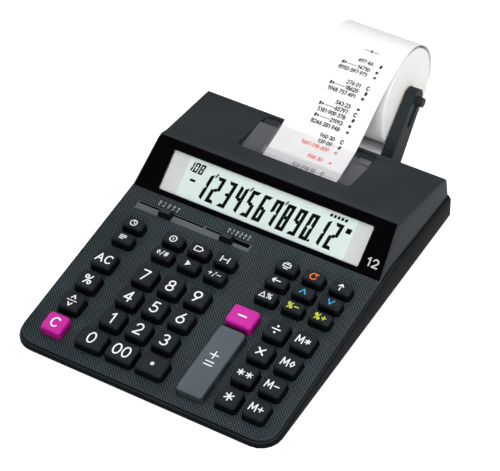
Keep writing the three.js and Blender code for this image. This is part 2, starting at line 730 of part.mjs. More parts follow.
const KEYS = keyTable();
const SLOTS = [MODE_SLOT, DECIMAL_SLOT].map((ends) => ends.map(acrossDeck));
const SLOT_OPENINGS = [
  ...SLOTS.map((ends) => [...ends, alongDeck(SLOT_FRONT_Y)]),
  [acrossDeck(SLOT_WINDOW_LEFT), acrossDeck(DECIMAL_SLOT[1]), alongDeck(SLOT_WINDOW_FRONT_Y)],
];
const FLANGE_TOP = -DECK_THICKNESS - GAP;
const FLANGE_BOTTOM = FLANGE_TOP - KEY_FLANGE_THICKNESS;
const BOARD_TOP = FLANGE_BOTTOM - KEY_TRAVEL - KEY_PRESS_GAP;
const BOARD_BOTTOM = BOARD_TOP - BOARD_THICKNESS;

// One key: flange that holds it under the deck, upright body, shoulder and flat top
function keySolid(key) {
  const section = [
    [KEY_FLANGE, KEY_RADIUS, FLANGE_BOTTOM],
    [KEY_FLANGE, KEY_RADIUS, FLANGE_TOP],
    [0, KEY_RADIUS, FLANGE_TOP],
    [-KEY_SHOULDER_IN, KEY_RADIUS, KEY_RISE - KEY_SHOULDER],
    [-KEY_TOP_IN, KEY_TOP_RADIUS, KEY_RISE],
  ];
  const rings = section.map(([grow, radius, height]) => {
    const outline = roundedRectangle(key.x, key.y, key.width / 2 + grow, key.depth / 2 + grow, radius);
    return outline.map(([x, y]) => [x, y, height]);
  });
  return loft(rings, ON_DECK);
}

function keyHole(key) {
  const halfWidth = key.width / 2 + KEY_HOLE_GAP;
  const halfDepth = key.depth / 2 + KEY_HOLE_GAP;
  const outline = roundedRectangle(key.x, key.y, halfWidth, halfDepth, KEY_RADIUS + KEY_HOLE_GAP);
  return prism(outline, FLANGE_TOP - OVERRUN, OVERRUN, ON_DECK);
}

// Plan places of the case screws
const BOSSES = [
  [-BOSS_FRONT_X, BOSS_FRONT_Y * ALONG_SHARE],
  [BOSS_FRONT_X, BOSS_FRONT_Y * ALONG_SHARE],
  [-BOSS_REAR_X, BOSS_REAR_Y],
  [BOSS_REAR_X, BOSS_REAR_Y],
];

const RECESS_MIDDLE_X = (RECESS_LEFT + RECESS_RIGHT) / 2;
const RECESS_HALF_WIDTH = (RECESS_RIGHT - RECESS_LEFT) / 2;
const RECESS_MIDDLE_Y = (RECESS_FRONT_Y + RECESS_REAR_Y) / 2;
const RECESS_HALF_DEPTH = (RECESS_REAR_Y - RECESS_FRONT_Y) / 2;

function recessPrism(margin, low, high) {
  const halfWidth = RECESS_HALF_WIDTH + margin;
  const halfDepth = RECESS_HALF_DEPTH + margin;
  const radius = RECESS_RADIUS + margin;
  const outline = roundedRectangle(RECESS_MIDDLE_X, RECESS_MIDDLE_Y, halfWidth, halfDepth, radius);
  return prism(outline, low, high);
}

function upperCase() {
  const outer = upperBody(SKIRT_INSET, (y) => wallTop(y) + RIM_UP - SKIRT_DEPTH, TOP_LINE, 0);
  const inner = upperBody(SKIRT_INSET + UPPER_WALL, () => 0, INNER_LINE, UPPER_WALL);
  let shell = outer.subtract(inner);

  // Collar round the printer recess, deeper towards the rear
  const collarDrop = COLLAR_SLOPE * (CASE_DEPTH - RECESS_FRONT_Y);
  const band = profile([
    [RECESS_FRONT_Y - RECESS_COLLAR, COLLAR_FRONT_Z],
    [CASE_DEPTH, COLLAR_FRONT_Z + collarDrop],
    [CASE_DEPTH, RIDGE_Z],
    [RECESS_FRONT_Y - RECESS_COLLAR, RIDGE_Z],
  ], RECESS_LEFT - RECESS_COLLAR, RECESS_RIGHT + RECESS_COLLAR);
  const collar = recessPrism(RECESS_COLLAR, 0, RIDGE_Z).intersect(band).intersect(outer);
  shell = shell.add(collar).subtract(recessPrism(0, FEED_SLOT_TOP, RIDGE_Z));
  shell = shell.add(box(
    RECESS_LEFT - RECESS_COLLAR / 2,
    RECESS_RIGHT + RECESS_COLLAR / 2,
    LEDGE_FRONT_Y,
    RECESS_REAR_Y + RECESS_COLLAR / 2,
    LEDGE_TOP_Z - LEDGE_THICKNESS,
    LEDGE_TOP_Z,
  ));

  // Posts: short ones hold the membrane board down, long ones take the case screws
  for (const x of [POST_LEFT_X, POST_RIGHT_X]) {
    for (const y of [POST_FRONT_Y, POST_REAR_Y]) {
      const outline = circle(acrossDeck(x), alongDeck(y), POST_RADIUS, SMALL_ROUND_STEPS);
      shell = shell.add(prism(outline, BOARD_TOP + GAP, -DECK_THICKNESS / 2, ON_DECK));
    }
  }
  for (const [x, y] of BOSSES) {
    const post = prism(circle(x, y, CASE_POST_RADIUS, SMALL_ROUND_STEPS), BOSS_TOP_Z + GAP, RIDGE_Z);
    shell = shell.add(post.intersect(outer));
  }

  // Seat of the glossy sheet and the opening for the display module
  shell = shell.subtract(prism(panelOutline(GAP), -PANEL_SHEET - GAP, OVERRUN, ON_PANEL));
  const moduleHole = windowOutline(MODULE_MARGIN + GAP);
  shell = shell.subtract(prism(moduleHole, -PANEL_SHEET - MODULE_THICKNESS - OVERRUN, OVERRUN, ON_PANEL));

  // Key holes, slide-switch band and slots, and the slot where the paper enters
  for (const key of KEYS) {
    shell = shell.subtract(keyHole(key));
  }
  shell = shell.subtract(prism([
    [acrossDeck(BAND_LEFT), alongDeck(BAND_FRONT_Y)],
    [acrossDeck(BAND_RIGHT), alongDeck(BAND_FRONT_Y)],
    [acrossDeck(BAND_RIGHT), alongDeck(BAND_REAR_Y)],
    [acrossDeck(BAND_LEFT), alongDeck(BAND_REAR_Y)],
  ], -BAND_RECESS, OVERRUN, ON_DECK));
  for (const [left, right, front] of SLOT_OPENINGS) {
    shell = shell.subtract(prism([
      [left, front],
      [right, front],
      [right, alongDeck(SLOT_REAR_Y)],
      [left, alongDeck(SLOT_REAR_Y)],
    ], FLANGE_TOP - OVERRUN, OVERRUN, ON_DECK));
  }
  return shell.subtract(box(
    PAPER_LEFT - FEED_SLOT_SIDE,
    PAPER_RIGHT + FEED_SLOT_SIDE,
    CASE_DEPTH - FEED_SLOT_REACH,
    CASE_DEPTH + OVERRUN,
    FEED_SLOT_BOTTOM,
    FEED_SLOT_TOP,
  ));
}

const CELLS_LENGTH = 2 * (CELL_LENGTH + CELL_NUB);
const BAY_HALF_WIDTH = CELLS_LENGTH / 2 + CONTACT_PLATE + BAY_SIDE_GAP;
const BAY_DEPTH = 4 * CELL_RADIUS + CELL_ROW_GAP + 2 * BAY_SIDE_GAP;
const BAY_REAR_Y = BAY_FRONT_Y + BAY_DEPTH;
const DOOR_TOP_Z = FOOT_HEIGHT + DOOR_THICKNESS;
const CELLS_Z = DOOR_TOP_Z + GAP + CELL_RADIUS;
const BAY_TOP_Z = CELLS_Z + CELL_RADIUS + GAP;

// Lug outline at the rear of the lower case, around the hinge of the roll holder
function lugOutline() {
  return wrapped(CASE_DEPTH - LOWER_WALL / 2, HINGE_Z, LUG_RADIUS, HINGE_Y, HINGE_Z, LUG_RADIUS);
}

const ARM_BASE_OUTER = ARM_INNER + ARM_THICKNESS + ARM_FLARE;
const LUG_INNER = ARM_BASE_OUTER + LUG_GAP;

// The same solid on the other side of the paper's middle
function acrossPaper(solid) {
  return solid.mirror([1, 0, 0]).translate([2 * PAPER_MIDDLE_X, 0, 0]);
}

function lowerCase() {
  const outer = loft([
    ringOf(planChain(BOTTOM_CHAMFER), () => FOOT_HEIGHT),
    ringOf(planChain(0), () => FOOT_HEIGHT + BOTTOM_CHAMFER),
    ringOf(planChain(0), (place) => wallTop(place.y)),
    ringOf(planChain(RIM_IN), (place) => wallTop(place.y) + RIM_UP),
  ]);
  const inner = loft([
    ringOf(planChain(LOWER_WALL), () => FLOOR_TOP_Z),
    ringOf(planChain(LOWER_WALL), (place) => wallTop(place.y) + RIM_UP + OVERRUN),
  ]);
  let shell = outer.subtract(inner);

  // Feet
  for (const x of [-CASE_WIDTH / 2 + FOOT_EDGE_X, CASE_WIDTH / 2 - FOOT_EDGE_X]) {
    for (const y of [FOOT_FRONT_Y, FOOT_REAR_Y]) {
      shell = shell.add(prism(circle(x, y, FOOT_RADIUS), 0, FOOT_HEIGHT + FLOOR_THICKNESS / 2));
    }
  }

  // Battery bay, open below
  shell = shell.add(box(
    -BAY_HALF_WIDTH - BAY_WALL,
    BAY_HALF_WIDTH + BAY_WALL,
    BAY_FRONT_Y - BAY_WALL,
    BAY_REAR_Y + BAY_WALL,
    FLOOR_TOP_Z - FLOOR_THICKNESS / 2,
    BAY_TOP_Z + BAY_WALL,
  ));
  shell = shell.subtract(box(-BAY_HALF_WIDTH, BAY_HALF_WIDTH, BAY_FRONT_Y, BAY_REAR_Y, 0, BAY_TOP_Z));

  // Screw bosses with blind bores from below, and posts under the printer mechanism
  for (const [x, y] of BOSSES) {
    const outside = circle(x, y, BOSS_RADIUS, SMALL_ROUND_STEPS);
    const inside = circle(x, y, BOSS_BORE, SMALL_ROUND_STEPS);
    shell = shell.add(prism(outside, FLOOR_TOP_Z - FLOOR_THICKNESS / 2, BOSS_TOP_Z));
    shell = shell.subtract(prism(inside, 0, FOOT_HEIGHT + BOSS_BORE_DEPTH));
  }
  for (const x of [MECH_LEFT, MECH_RIGHT]) {
    const outline = circle(x, MECH_POST_Y, MECH_POST_RADIUS, SMALL_ROUND_STEPS);
    shell = shell.add(prism(outline, FLOOR_TOP_Z - FLOOR_THICKNESS / 2, MECH_BASE_Z - GAP));
  }

  // Power inlet: a block behind the rear wall with a deep bore and a centre pin
  const blockHalf = INLET_RADIUS + INLET_WALL;
  const boreFloor = CASE_DEPTH - INLET_DEPTH;
  const block = box(
    INLET_X - blockHalf,
    INLET_X + blockHalf,
    boreFloor - INLET_WALL,
    CASE_DEPTH - LOWER_WALL / 2,
    INLET_Z - blockHalf,
    INLET_Z + blockHalf,
  );
  const along = new THREE.Matrix4().makeTranslation(INLET_X, CASE_DEPTH, INLET_Z)
    .multiply(new THREE.Matrix4().makeRotationX(QUARTER_TURN));
  const bore = prism(circle(0, 0, INLET_RADIUS), -OVERRUN, INLET_DEPTH, along);
  const pin = prism(
    circle(0, 0, INLET_PIN_RADIUS, SMALL_ROUND_STEPS),
    INLET_PIN_SHORT,
    INLET_DEPTH + INLET_WALL / 2,
    along,
  );
  shell = shell.add(block).subtract(bore).add(pin);

  // Hinge lugs for the roll holder
  const boreOutline = circle(HINGE_Y, HINGE_Z, JOURNAL_RADIUS + SHAFT_GAP);
  const from = PAPER_MIDDLE_X + LUG_INNER;
  const lug = profile(lugOutline(), from, from + LUG_THICKNESS)
    .subtract(profile(boreOutline, from - OVERRUN, from + LUG_THICKNESS + OVERRUN));
  return shell.add(lug).add(acrossPaper(lug));
}

function displayPanel() {
  return prism(panelOutline(0), -PANEL_SHEET, 0, ON_PANEL);
}

function displayModule() {
  const top = -PANEL_SHEET - GAP;
  return prism(windowOutline(MODULE_MARGIN), top - MODULE_THICKNESS, top, ON_PANEL);
}

// Membrane board with the bodies of the two slide switches on its rear tongue
function keyboardBoard() {
  const outline = [
    [-BOARD_SIDE_X, BOARD_FRONT_Y],
    [BOARD_SIDE_X, BOARD_FRONT_Y],
    [BOARD_SIDE_X, BOARD_REAR_Y],
    [BOARD_TONGUE_RIGHT, BOARD_REAR_Y],
    [BOARD_TONGUE_RIGHT, BOARD_TONGUE_Y],
    [BOARD_TONGUE_LEFT, BOARD_TONGUE_Y],
    [BOARD_TONGUE_LEFT, BOARD_REAR_Y],
    [-BOARD_SIDE_X, BOARD_REAR_Y],
  ].map(([x, y]) => [acrossDeck(x), alongDeck(y)]);
  let board = prism(outline, BOARD_BOTTOM, BOARD_TOP, ON_DECK);
  const bodyTop = FLANGE_TOP - KNOB_FOOT_THICKNESS - GAP;
  for (const [left, right] of SLOTS) {
    const shift = Math.max(0, acrossDeck(BOARD_TONGUE_LEFT) - left);
    board = board.add(prism([
      [left + shift, alongDeck(SWITCH_FRONT_Y)],
      [right, alongDeck(SWITCH_FRONT_Y)],
      [right, alongDeck(BOARD_TONGUE_Y)],
      [left + shift, alongDeck(BOARD_TONGUE_Y)],
    ], BOARD_TOP - BOARD_THICKNESS / 2, bodyTop, ON_DECK));
  }
  return board;
}

// Slide knob: grip above the band, stem through the slot, foot under the deck
function sliderKnob(x) {
  const half = KNOB_WIDTH / 2;
  const bottom = -BAND_RECESS + GAP;
  const top = bottom + KNOB_HEIGHT;
  const grip = (inset, height) => {
    const front = alongDeck(KNOB_FRONT_Y) + inset;
    const rear = alongDeck(KNOB_REAR_Y) - inset;
    const side = half - inset;
    return [[x + side, front], [x + side, rear], [x - side, rear], [x - side, front]]
      .map(([px, py]) => [px, py, height]);
  };
  const knob = loft([
    grip(0, bottom),
    grip(KNOB_TAPER, top - KNOB_CHAMFER),
    grip(KNOB_TAPER + KNOB_CHAMFER, top),
  ], ON_DECK);
  const slotFront = alongDeck(SLOT_FRONT_Y);
  const slotRear = alongDeck(SLOT_REAR_Y);
  const bar = (halfWidth, front, rear, low, high) => prism(
    [[x - halfWidth, front], [x + halfWidth, front], [x + halfWidth, rear], [x - halfWidth, rear]],
    low,
    high,
    ON_DECK,
  );
  const footBottom = FLANGE_TOP - KNOB_FOOT_THICKNESS;
  const stem = bar(
    STEM_WIDTH / 2,
    slotFront + GAP,
    slotRear - GAP,
    footBottom + KNOB_FOOT_THICKNESS / 2,
    bottom + KNOB_CHAMFER,
  );
  const foot = bar(
    KNOB_FOOT_WIDTH / 2,
    slotFront - KNOB_FOOT_OVERLAP + GAP,
    slotRear + KNOB_FOOT_OVERLAP - GAP,
    footBottom,
    FLANGE_TOP,
  );
  return knob.add(stem).add(foot);
}

// One arm on the right of the paper, flared outwards towards its base
function armSolid() {
  const inner = PAPER_MIDDLE_X + ARM_INNER;
  const outer = inner + ARM_THICKNESS;
  const upper = wrapped(ROLL_Y, ROLL_Z, ARM_TIP_RADIUS, ARM_KNEE_Y, ARM_KNEE_Z, ARM_KNEE_RADIUS);
  const heel = wrapped(ARM_KNEE_Y, HINGE_Z, ARM_HEEL_RADIUS, HINGE_Y, HINGE_Z, ARM_EYE_RADIUS);
  const flat = profile(upper, inner, outer).add(profile(heel, inner, outer));

  // The outer face leans out from the tip down to the heel
  const flared = flat.warp((place) => {
    if (place[0] > inner + ARM_THICKNESS / 2) {
      place[0] += ARM_FLARE * (1 - Math.min(1, Math.max(0, place[2] / ROLL_Z)));
    }
  });

  // Shallow groove along the middle of the outer face
  const length = Math.hypot(ROLL_Y - ARM_KNEE_Y, ROLL_Z - ARM_KNEE_Z);
  const reach = GROOVE_LENGTH / length;
  const grooveOutline = wrapped(
    ROLL_Y,
    ROLL_Z,
    GROOVE_RADIUS,
    ROLL_Y - reach * (ROLL_Y - ARM_KNEE_Y),
    ROLL_Z - reach * (ROLL_Z - ARM_KNEE_Z),
    GROOVE_RADIUS,
    SMALL_ROUND_STEPS,
  );
  const grooved = flared.subtract(profile(grooveOutline, outer - GROOVE_DEPTH, outer + ARM_FLARE + OVERRUN));

  // Pin for the roll inside, round knob outside, hinge journal through the lug
  const pin = profile(
    circle(ROLL_Y, ROLL_Z, CORE_RADIUS - PIN_CLEARANCE),
    inner - PIN_LENGTH,
    inner + ARM_THICKNESS / 2,
  );
  const knob = profile(
    circle(ROLL_Y, ROLL_Z, ARM_KNOB_RADIUS, SMALL_ROUND_STEPS),
    inner + ARM_THICKNESS / 2,
    outer + ARM_KNOB_LENGTH,
  );
  const journalEnd = PAPER_MIDDLE_X + LUG_INNER + LUG_THICKNESS - GAP;
  const journal = profile(circle(HINGE_Y, HINGE_Z, JOURNAL_RADIUS), inner + ARM_THICKNESS / 2, journalEnd);
  return grooved.add(pin).add(knob).add(journal);
}

function rollArm() {
  const arm = armSolid();
  const bar = profile(
    circle(HINGE_Y, HINGE_Z, CROSS_BAR_RADIUS),
    PAPER_MIDDLE_X - ARM_INNER - ARM_THICKNESS / 2,
    PAPER_MIDDLE_X + ARM_INNER + ARM_THICKNESS / 2,
  );
  return arm.add(acrossPaper(arm)).add(bar);
}

function paperRoll() {
  const flat = (outline) => outline.map(([y, z]) => new THREE.Vector2(y, z));
  const shape = new THREE.Shape(flat(circle(ROLL_Y, ROLL_Z, ROLL_RADIUS, ROLL_STEPS)));
  shape.holes.push(new THREE.Path(flat(circle(ROLL_Y, ROLL_Z, CORE_RADIUS))));
  const geometry = new THREE.ExtrudeGeometry(shape, { depth: PAPER_WIDTH, bevelEnabled: false });
  geometry.translate(0, 0, PAPER_LEFT);
  geometry.applyMatrix4(ALONG_X);
  return solidOf(geometry);
}

// Place at an angle round the roll, a distance off its surface
function aroundRoll(degrees, away) {
  const turn = degrees * DEGREE;
  const radius = ROLL_RADIUS + away;
  return [ROLL_Y + radius * Math.cos(turn), ROLL_Z + radius * Math.sin(turn)];
}

// Middle line of the paper from under the roll, round the feed roller, and back over the roll
function stripPath() {
  const off = GAP + PAPER_THICKNESS / 2;
  const reach = Math.hypot(ROLL_Y - FEED_SLOT_Y, ROLL_Z - FEED_SLOT_Z);
  const toRoll = Math.atan2(ROLL_Z - FEED_SLOT_Z, ROLL_Y - FEED_SLOT_Y);
  const dip = toRoll - Math.asin((ROLL_RADIUS + off) / reach);
  const free = Math.sqrt(reach ** 2 - (ROLL_RADIUS + off) ** 2);
  const tangent = [FEED_SLOT_Y + free * Math.cos(dip), FEED_SLOT_Z + free * Math.sin(dip)];
  const midWeb = [FEED_SLOT_Y + free * Math.cos(dip) / 2, FEED_SLOT_Z + free * Math.sin(dip) / 2];
  const touchAngle = UNDER_ANGLE + dip / DEGREE;
  const wrap = ROLLER_RADIUS + off;
  const roundRoller = [];
  for (let i = 0; i <= WRAP_STEPS; i += 1) {
    const turn = HALF_TURN + QUARTER_TURN * (1 - i / WRAP_STEPS);
    roundRoller.push([ROLLER_Y + wrap * Math.cos(turn), ROLLER_Z + wrap * Math.sin(turn)]);
  }
  return [
    aroundRoll(WEB_START_ANGLE, off),
    aroundRoll((WEB_START_ANGLE + touchAngle) / 2, off),
    tangent,
    midWeb,
    [FEED_SLOT_Y, FEED_SLOT_Z],
    [WEB_INNER_Y, WEB_INNER_Z],
    ...roundRoller,
    [EXIT_Y, EXIT_Z],
    [EXIT_Y + (BAR_UNDER_Y - EXIT_Y) * EXIT_BEND_SHARE, EXIT_Z + (BAR_UNDER_Z - EXIT_Z) * EXIT_BEND_SHARE],
    [BAR_UNDER_Y, BAR_UNDER_Z],
    [LIFT_Y, LIFT_Z],
    aroundRoll(STRIP_MIDDLE_ANGLE, STRIP_MIDDLE_GAP),
    [STRIP_APEX_Y, STRIP_APEX_Z],
    aroundRoll(CURL_ANGLE, CURL_GAP),
    aroundRoll((CURL_ANGLE + CURL_END_ANGLE) / 2, (CURL_GAP + CURL_END_GAP) / 2),
    aroundRoll(CURL_END_ANGLE, CURL_END_GAP),
  ];
}

function stripCurve() {
  const places = stripPath().map(([y, z]) => new THREE.Vector3(y, z, 0));
  return new THREE.CatmullRomCurve3(places, false, 'centripetal');
}

function paperStrip() {
  const curve = stripCurve();
  const upperSide = [];
  const lowerSide = [];
  for (let i = 0; i <= STRIP_STEPS; i += 1) {
    const place = curve.getPointAt(i / STRIP_STEPS);
    const heading = curve.getTangentAt(i / STRIP_STEPS);
    const offY = -heading.y * PAPER_THICKNESS / 2;
    const offZ = heading.x * PAPER_THICKNESS / 2;
    upperSide.push([place.x + offY, place.y + offZ]);
    lowerSide.push([place.x - offY, place.y - offZ]);
  }
  return profile([...upperSide, ...lowerSide.reverse()], PAPER_LEFT, PAPER_RIGHT);
}

// Height of the printer cover's top
function coverHeight(y) {
  return COVER_FRONT_Z + COVER_SLOPE * (y - COVER_FRONT_Y);
}

function printerCover() {
  const left = RECESS_LEFT + GAP;
  const right = RECESS_RIGHT - GAP;
  const plate = profile([
    [COVER_FRONT_Y, coverHeight(COVER_FRONT_Y) - COVER_THICKNESS],
    [COVER_REAR_Y, coverHeight(COVER_REAR_Y) - COVER_THICKNESS],
    [COVER_REAR_Y, coverHeight(COVER_REAR_Y)],
    [COVER_FRONT_Y, coverHeight(COVER_FRONT_Y)],
  ], left, right);
  const block = profile([
    [COVER_BLOCK_FRONT_Y, coverHeight(COVER_BLOCK_FRONT_Y) - COVER_THICKNESS / 2],
    [COVER_REAR_Y, coverHeight(COVER_REAR_Y) - COVER_THICKNESS / 2],
    [COVER_REAR_Y, coverHeight(COVER_REAR_Y) + COVER_BLOCK_HEIGHT],
    [COVER_BLOCK_FRONT_Y, coverHeight(COVER_BLOCK_FRONT_Y) + COVER_BLOCK_HEIGHT],
  ], COVER_BLOCK_LEFT, right);
  return plate.add(block);
}

// Clear bar over the printed strip, on two legs beside it
function tearBar() {
  const left = PAPER_LEFT - TEAR_SIDE;
  const right = PAPER_RIGHT + TEAR_SIDE;
  const plate = profile([
    [TEAR_FRONT_Y, TEAR_FRONT_Z],
    [TEAR_REAR_Y, TEAR_REAR_Z],
    [TEAR_REAR_Y, TEAR_REAR_Z + TEAR_THICKNESS / 2],
    [TEAR_FRONT_Y, TEAR_FRONT_Z + TEAR_THICKNESS],
  ], left, right);
  const legOutline = [
    [TEAR_FRONT_Y, coverHeight(TEAR_FRONT_Y) + GAP],
    [TEAR_REAR_Y, coverHeight(TEAR_REAR_Y) + GAP],
    [TEAR_REAR_Y, TEAR_REAR_Z + TEAR_THICKNESS / 4],
    [TEAR_FRONT_Y, TEAR_FRONT_Z + TEAR_THICKNESS / 4],
  ];
  const leftLeg = profile(legOutline, left, left + TEAR_LEG);
  const rightLeg = profile(legOutline, right - TEAR_LEG, right);
  return plate.add(leftLeg).add(rightLeg);
}

const DRUM_Y = ROLLER_Y - ROLLER_RADIUS - GAP - PAPER_THICKNESS - DRUM_PAPER_GAP - DRUM_RADIUS;

function printerMechanism() {
  const plateTop = MECH_BASE_Z + MECH_BASE_THICKNESS;
  let frame = box(MECH_LEFT, MECH_RIGHT, MECH_FRONT_Y, MECH_REAR_Y, MECH_BASE_Z, plateTop);
  for (const left of [MECH_LEFT, MECH_RIGHT - MECH_PLATE]) {
    frame = frame.add(box(left, left + MECH_PLATE, MECH_FRONT_Y, MECH_REAR_Y, MECH_BASE_Z, MECH_TOP_Z));
  }
  const motorEnd = MECH_LEFT + MOTOR_LENGTH;
  frame = frame.add(profile(circle(MOTOR_Y, MOTOR_Z, MOTOR_RADIUS), MECH_LEFT + MECH_PLATE / 2, motorEnd));
  for (const [y, z] of [[ROLLER_Y, ROLLER_Z], [DRUM_Y, DRUM_Z]]) {
    const outline = circle(y, z, SHAFT_RADIUS + SHAFT_GAP, SMALL_ROUND_STEPS);
    frame = frame.subtract(profile(outline, MECH_LEFT - OVERRUN, MECH_RIGHT + OVERRUN));
  }
  return frame;
}

// Roller or drum with its shaft ends in the side plates
function rollerOn(y, z, radius) {
  const body = profile(circle(y, z, radius), PAPER_LEFT - ROLLER_OVERHANG, PAPER_RIGHT + ROLLER_OVERHANG);
  const outline = circle(y, z, SHAFT_RADIUS, SMALL_ROUND_STEPS);
  return body.add(profile(outline, MECH_LEFT - SHAFT_STUB, MECH_RIGHT + SHAFT_STUB));
}

function batteryDoor() {
  const front = BAY_FRONT_Y + DOOR_GAP;
  const rear = BAY_REAR_Y - DOOR_GAP;
  const half = BAY_HALF_WIDTH - DOOR_GAP;
  const plate = box(-half, half, front, rear, FOOT_HEIGHT, DOOR_TOP_Z);
  const pull = box(
    -DOOR_PULL_WIDTH / 2,
    DOOR_PULL_WIDTH / 2,
    rear - DOOR_PULL_DEPTH - DOOR_GAP,
    rear - DOOR_GAP,
    0,
    FOOT_HEIGHT + DOOR_PULL_CUT,
  );
  return plate.subtract(pull);
}

// Four cells in two rows, joined by the contact plates at both ends
function batteryCells() {
  const rowPlaces = [0, 1].map((row) => (
    BAY_FRONT_Y + BAY_SIDE_GAP + CELL_RADIUS + row * (2 * CELL_RADIUS + CELL_ROW_GAP)
  ));
  let cells = null;
  for (const y of rowPlaces) {
    for (const start of [-CELLS_LENGTH / 2, 0]) {
      const body = profile(circle(y, CELLS_Z, CELL_RADIUS), start, start + CELL_LENGTH);
      const nubOutline = circle(y, CELLS_Z, CELL_NUB_RADIUS, SMALL_ROUND_STEPS);
      const nubEnd = start + CELL_LENGTH + CELL_NUB + CONTACT_PLATE / 2;
      const cell = body.add(profile(nubOutline, start + CELL_LENGTH / 2, nubEnd));
      cells = cells ? cells.add(cell) : cell;
    }
  }
  for (const side of [-1, 1]) {
    const near = side * CELLS_LENGTH / 2;
    const far = near + side * CONTACT_PLATE;
    cells = cells.add(box(
      Math.min(near, far),
      Math.max(near, far),
      rowPlaces[0] - CELL_NUB_RADIUS,
      rowPlaces[1] + CELL_NUB_RADIUS,
      CELLS_Z - CELL_NUB_RADIUS,
      CELLS_Z + CELL_NUB_RADIUS,
    ));
  }
  return cells;
}

const machine = new THREE.Group();
machine.add(meshOf('upper_case', upperCase(), DECK_GREY, 0.6));
machine.add(meshOf('lower_case', lowerCase(), CASE_DARK, 0.5));
machine.add(meshOf('display_panel', displayPanel(), GLOSS_BLACK, 0.1));
machine.add(meshOf('lcd_module', displayModule(), DISPLAY_AQUA, 0.3));
machine.add(meshOf('keyboard_board', keyboardBoard(), BOARD_GREEN, 0.7));
machine.add(meshOf('mode_slider', sliderKnob(acrossDeck(MODE_KNOB_X)), BLACK, 0.5));
machine.add(meshOf('decimal_slider', sliderKnob(acrossDeck(DECIMAL_KNOB_X)), BLACK, 0.5));
machine.add(meshOf('roll_arm', rollArm(), BLACK, 0.5));
machine.add(meshOf('paper_roll', paperRoll(), PAPER_WHITE, 0.9));
machine.add(meshOf('paper_strip', paperStrip(), PAPER_WHITE, 0.9));
machine.add(meshOf('printer_cover', printerCover(), DECK_GREY, 0.5));
machine.add(meshOf('tear_bar', tearBar(), CLEAR_GREY, 0.1));
machine.add(meshOf('printer_mechanism', printerMechanism(), STEEL, 0.4, 0.6));
machine.add(meshOf('feed_roller', rollerOn(ROLLER_Y, ROLLER_Z, ROLLER_RADIUS), BLACK, 0.9));
machine.add(meshOf('type_drum', rollerOn(DRUM_Y, DRUM_Z, DRUM_RADIUS), STEEL, 0.4, 0.6));
machine.add(meshOf('battery_door', batteryDoor(), CASE_DARK, 0.5));
machine.add(meshOf('battery_cells', batteryCells(), CELL_COLOUR, 0.4, 0.5));
for (const key of KEYS) {
  machine.add(meshOf(key.name, keySolid(key), key.colour, 0.45));
}

// Rearmost place of the paper decides the overall depth
const strip = machine.children.find((child) => child.name === 'paper_strip');
strip.geometry.computeBoundingBox();
machine.position.y = -strip.geometry.boundingBox.max.y / 2;
const calculator = new THREE.Group();
calculator.add(machine);

export default calculator;
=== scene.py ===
"""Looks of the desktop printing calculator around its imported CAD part.
Metres in the row frame. Sizes below are in millimetres and are turned into metres by the frames."""

import json
import math
import random

import bmesh
import bpy
from mathutils import Matrix, Vector

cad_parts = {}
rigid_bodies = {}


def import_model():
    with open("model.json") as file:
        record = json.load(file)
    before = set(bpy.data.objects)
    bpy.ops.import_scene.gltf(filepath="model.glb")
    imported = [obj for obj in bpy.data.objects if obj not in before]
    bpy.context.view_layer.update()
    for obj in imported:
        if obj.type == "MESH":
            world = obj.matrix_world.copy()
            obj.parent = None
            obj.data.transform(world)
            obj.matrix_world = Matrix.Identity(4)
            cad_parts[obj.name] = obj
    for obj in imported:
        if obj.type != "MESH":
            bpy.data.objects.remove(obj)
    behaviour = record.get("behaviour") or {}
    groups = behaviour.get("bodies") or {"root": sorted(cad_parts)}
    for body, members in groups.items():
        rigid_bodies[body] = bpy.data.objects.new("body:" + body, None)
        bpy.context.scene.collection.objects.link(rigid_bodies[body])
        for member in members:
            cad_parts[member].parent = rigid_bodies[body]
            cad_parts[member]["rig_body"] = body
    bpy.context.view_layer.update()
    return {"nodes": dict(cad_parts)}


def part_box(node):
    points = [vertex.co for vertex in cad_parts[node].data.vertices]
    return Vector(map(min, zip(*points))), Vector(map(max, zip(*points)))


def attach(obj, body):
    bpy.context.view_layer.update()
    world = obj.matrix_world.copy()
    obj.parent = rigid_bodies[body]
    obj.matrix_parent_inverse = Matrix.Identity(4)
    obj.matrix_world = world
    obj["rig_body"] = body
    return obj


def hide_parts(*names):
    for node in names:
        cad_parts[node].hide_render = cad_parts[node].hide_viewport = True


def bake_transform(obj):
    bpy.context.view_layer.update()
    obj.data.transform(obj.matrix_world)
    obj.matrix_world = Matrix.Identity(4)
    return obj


for left_over in list(bpy.data.objects):
    bpy.data.objects.remove(left_over)

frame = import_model()
random.seed(7)

MM = 0.001

# Frames of the sloping surfaces, from the case's front edge, its middle and the ground
FRONT = -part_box("paper_strip")[1].y
DECK_FRONT_Z = 9.9
DECK_ANGLE = math.atan(0.103)
PANEL_Y = 146.8
PANEL_Z = 25.02
PANEL_ANGLE = math.atan2(23.2, 30.9)
PANEL_LENGTH = 38.64
PANEL_BOTTOM_HALF = 94.2
PANEL_TOP_HALF = 90.6
PANEL_SHEET = 1.8
PANEL_CORNER = 1.6
WINDOW_HALF = 76.7
WINDOW_LOW = 3.4
WINDOW_HIGH = 32.0
WINDOW_CORNER = 1.2
LCD_TOP = -2.1


def frame_at(y, z, angle):
    origin = Matrix.Translation((0, FRONT + y * MM, z * MM))
    return origin @ Matrix.Rotation(angle, 4, "X") @ Matrix.Scale(MM, 4)


DECK = frame_at(0, DECK_FRONT_Z, DECK_ANGLE)
PANEL = frame_at(PANEL_Y, PANEL_Z, PANEL_ANGLE)
LEVEL = frame_at(0, 0, 0)


# -------- materials

BEVEL_SAMPLES = 6
WEAVE_PITCH = 2.2
RING_DENSITY = 9000  # radians of ring pattern in a metre of the roll's radius
RING_WANDER = 0.0008


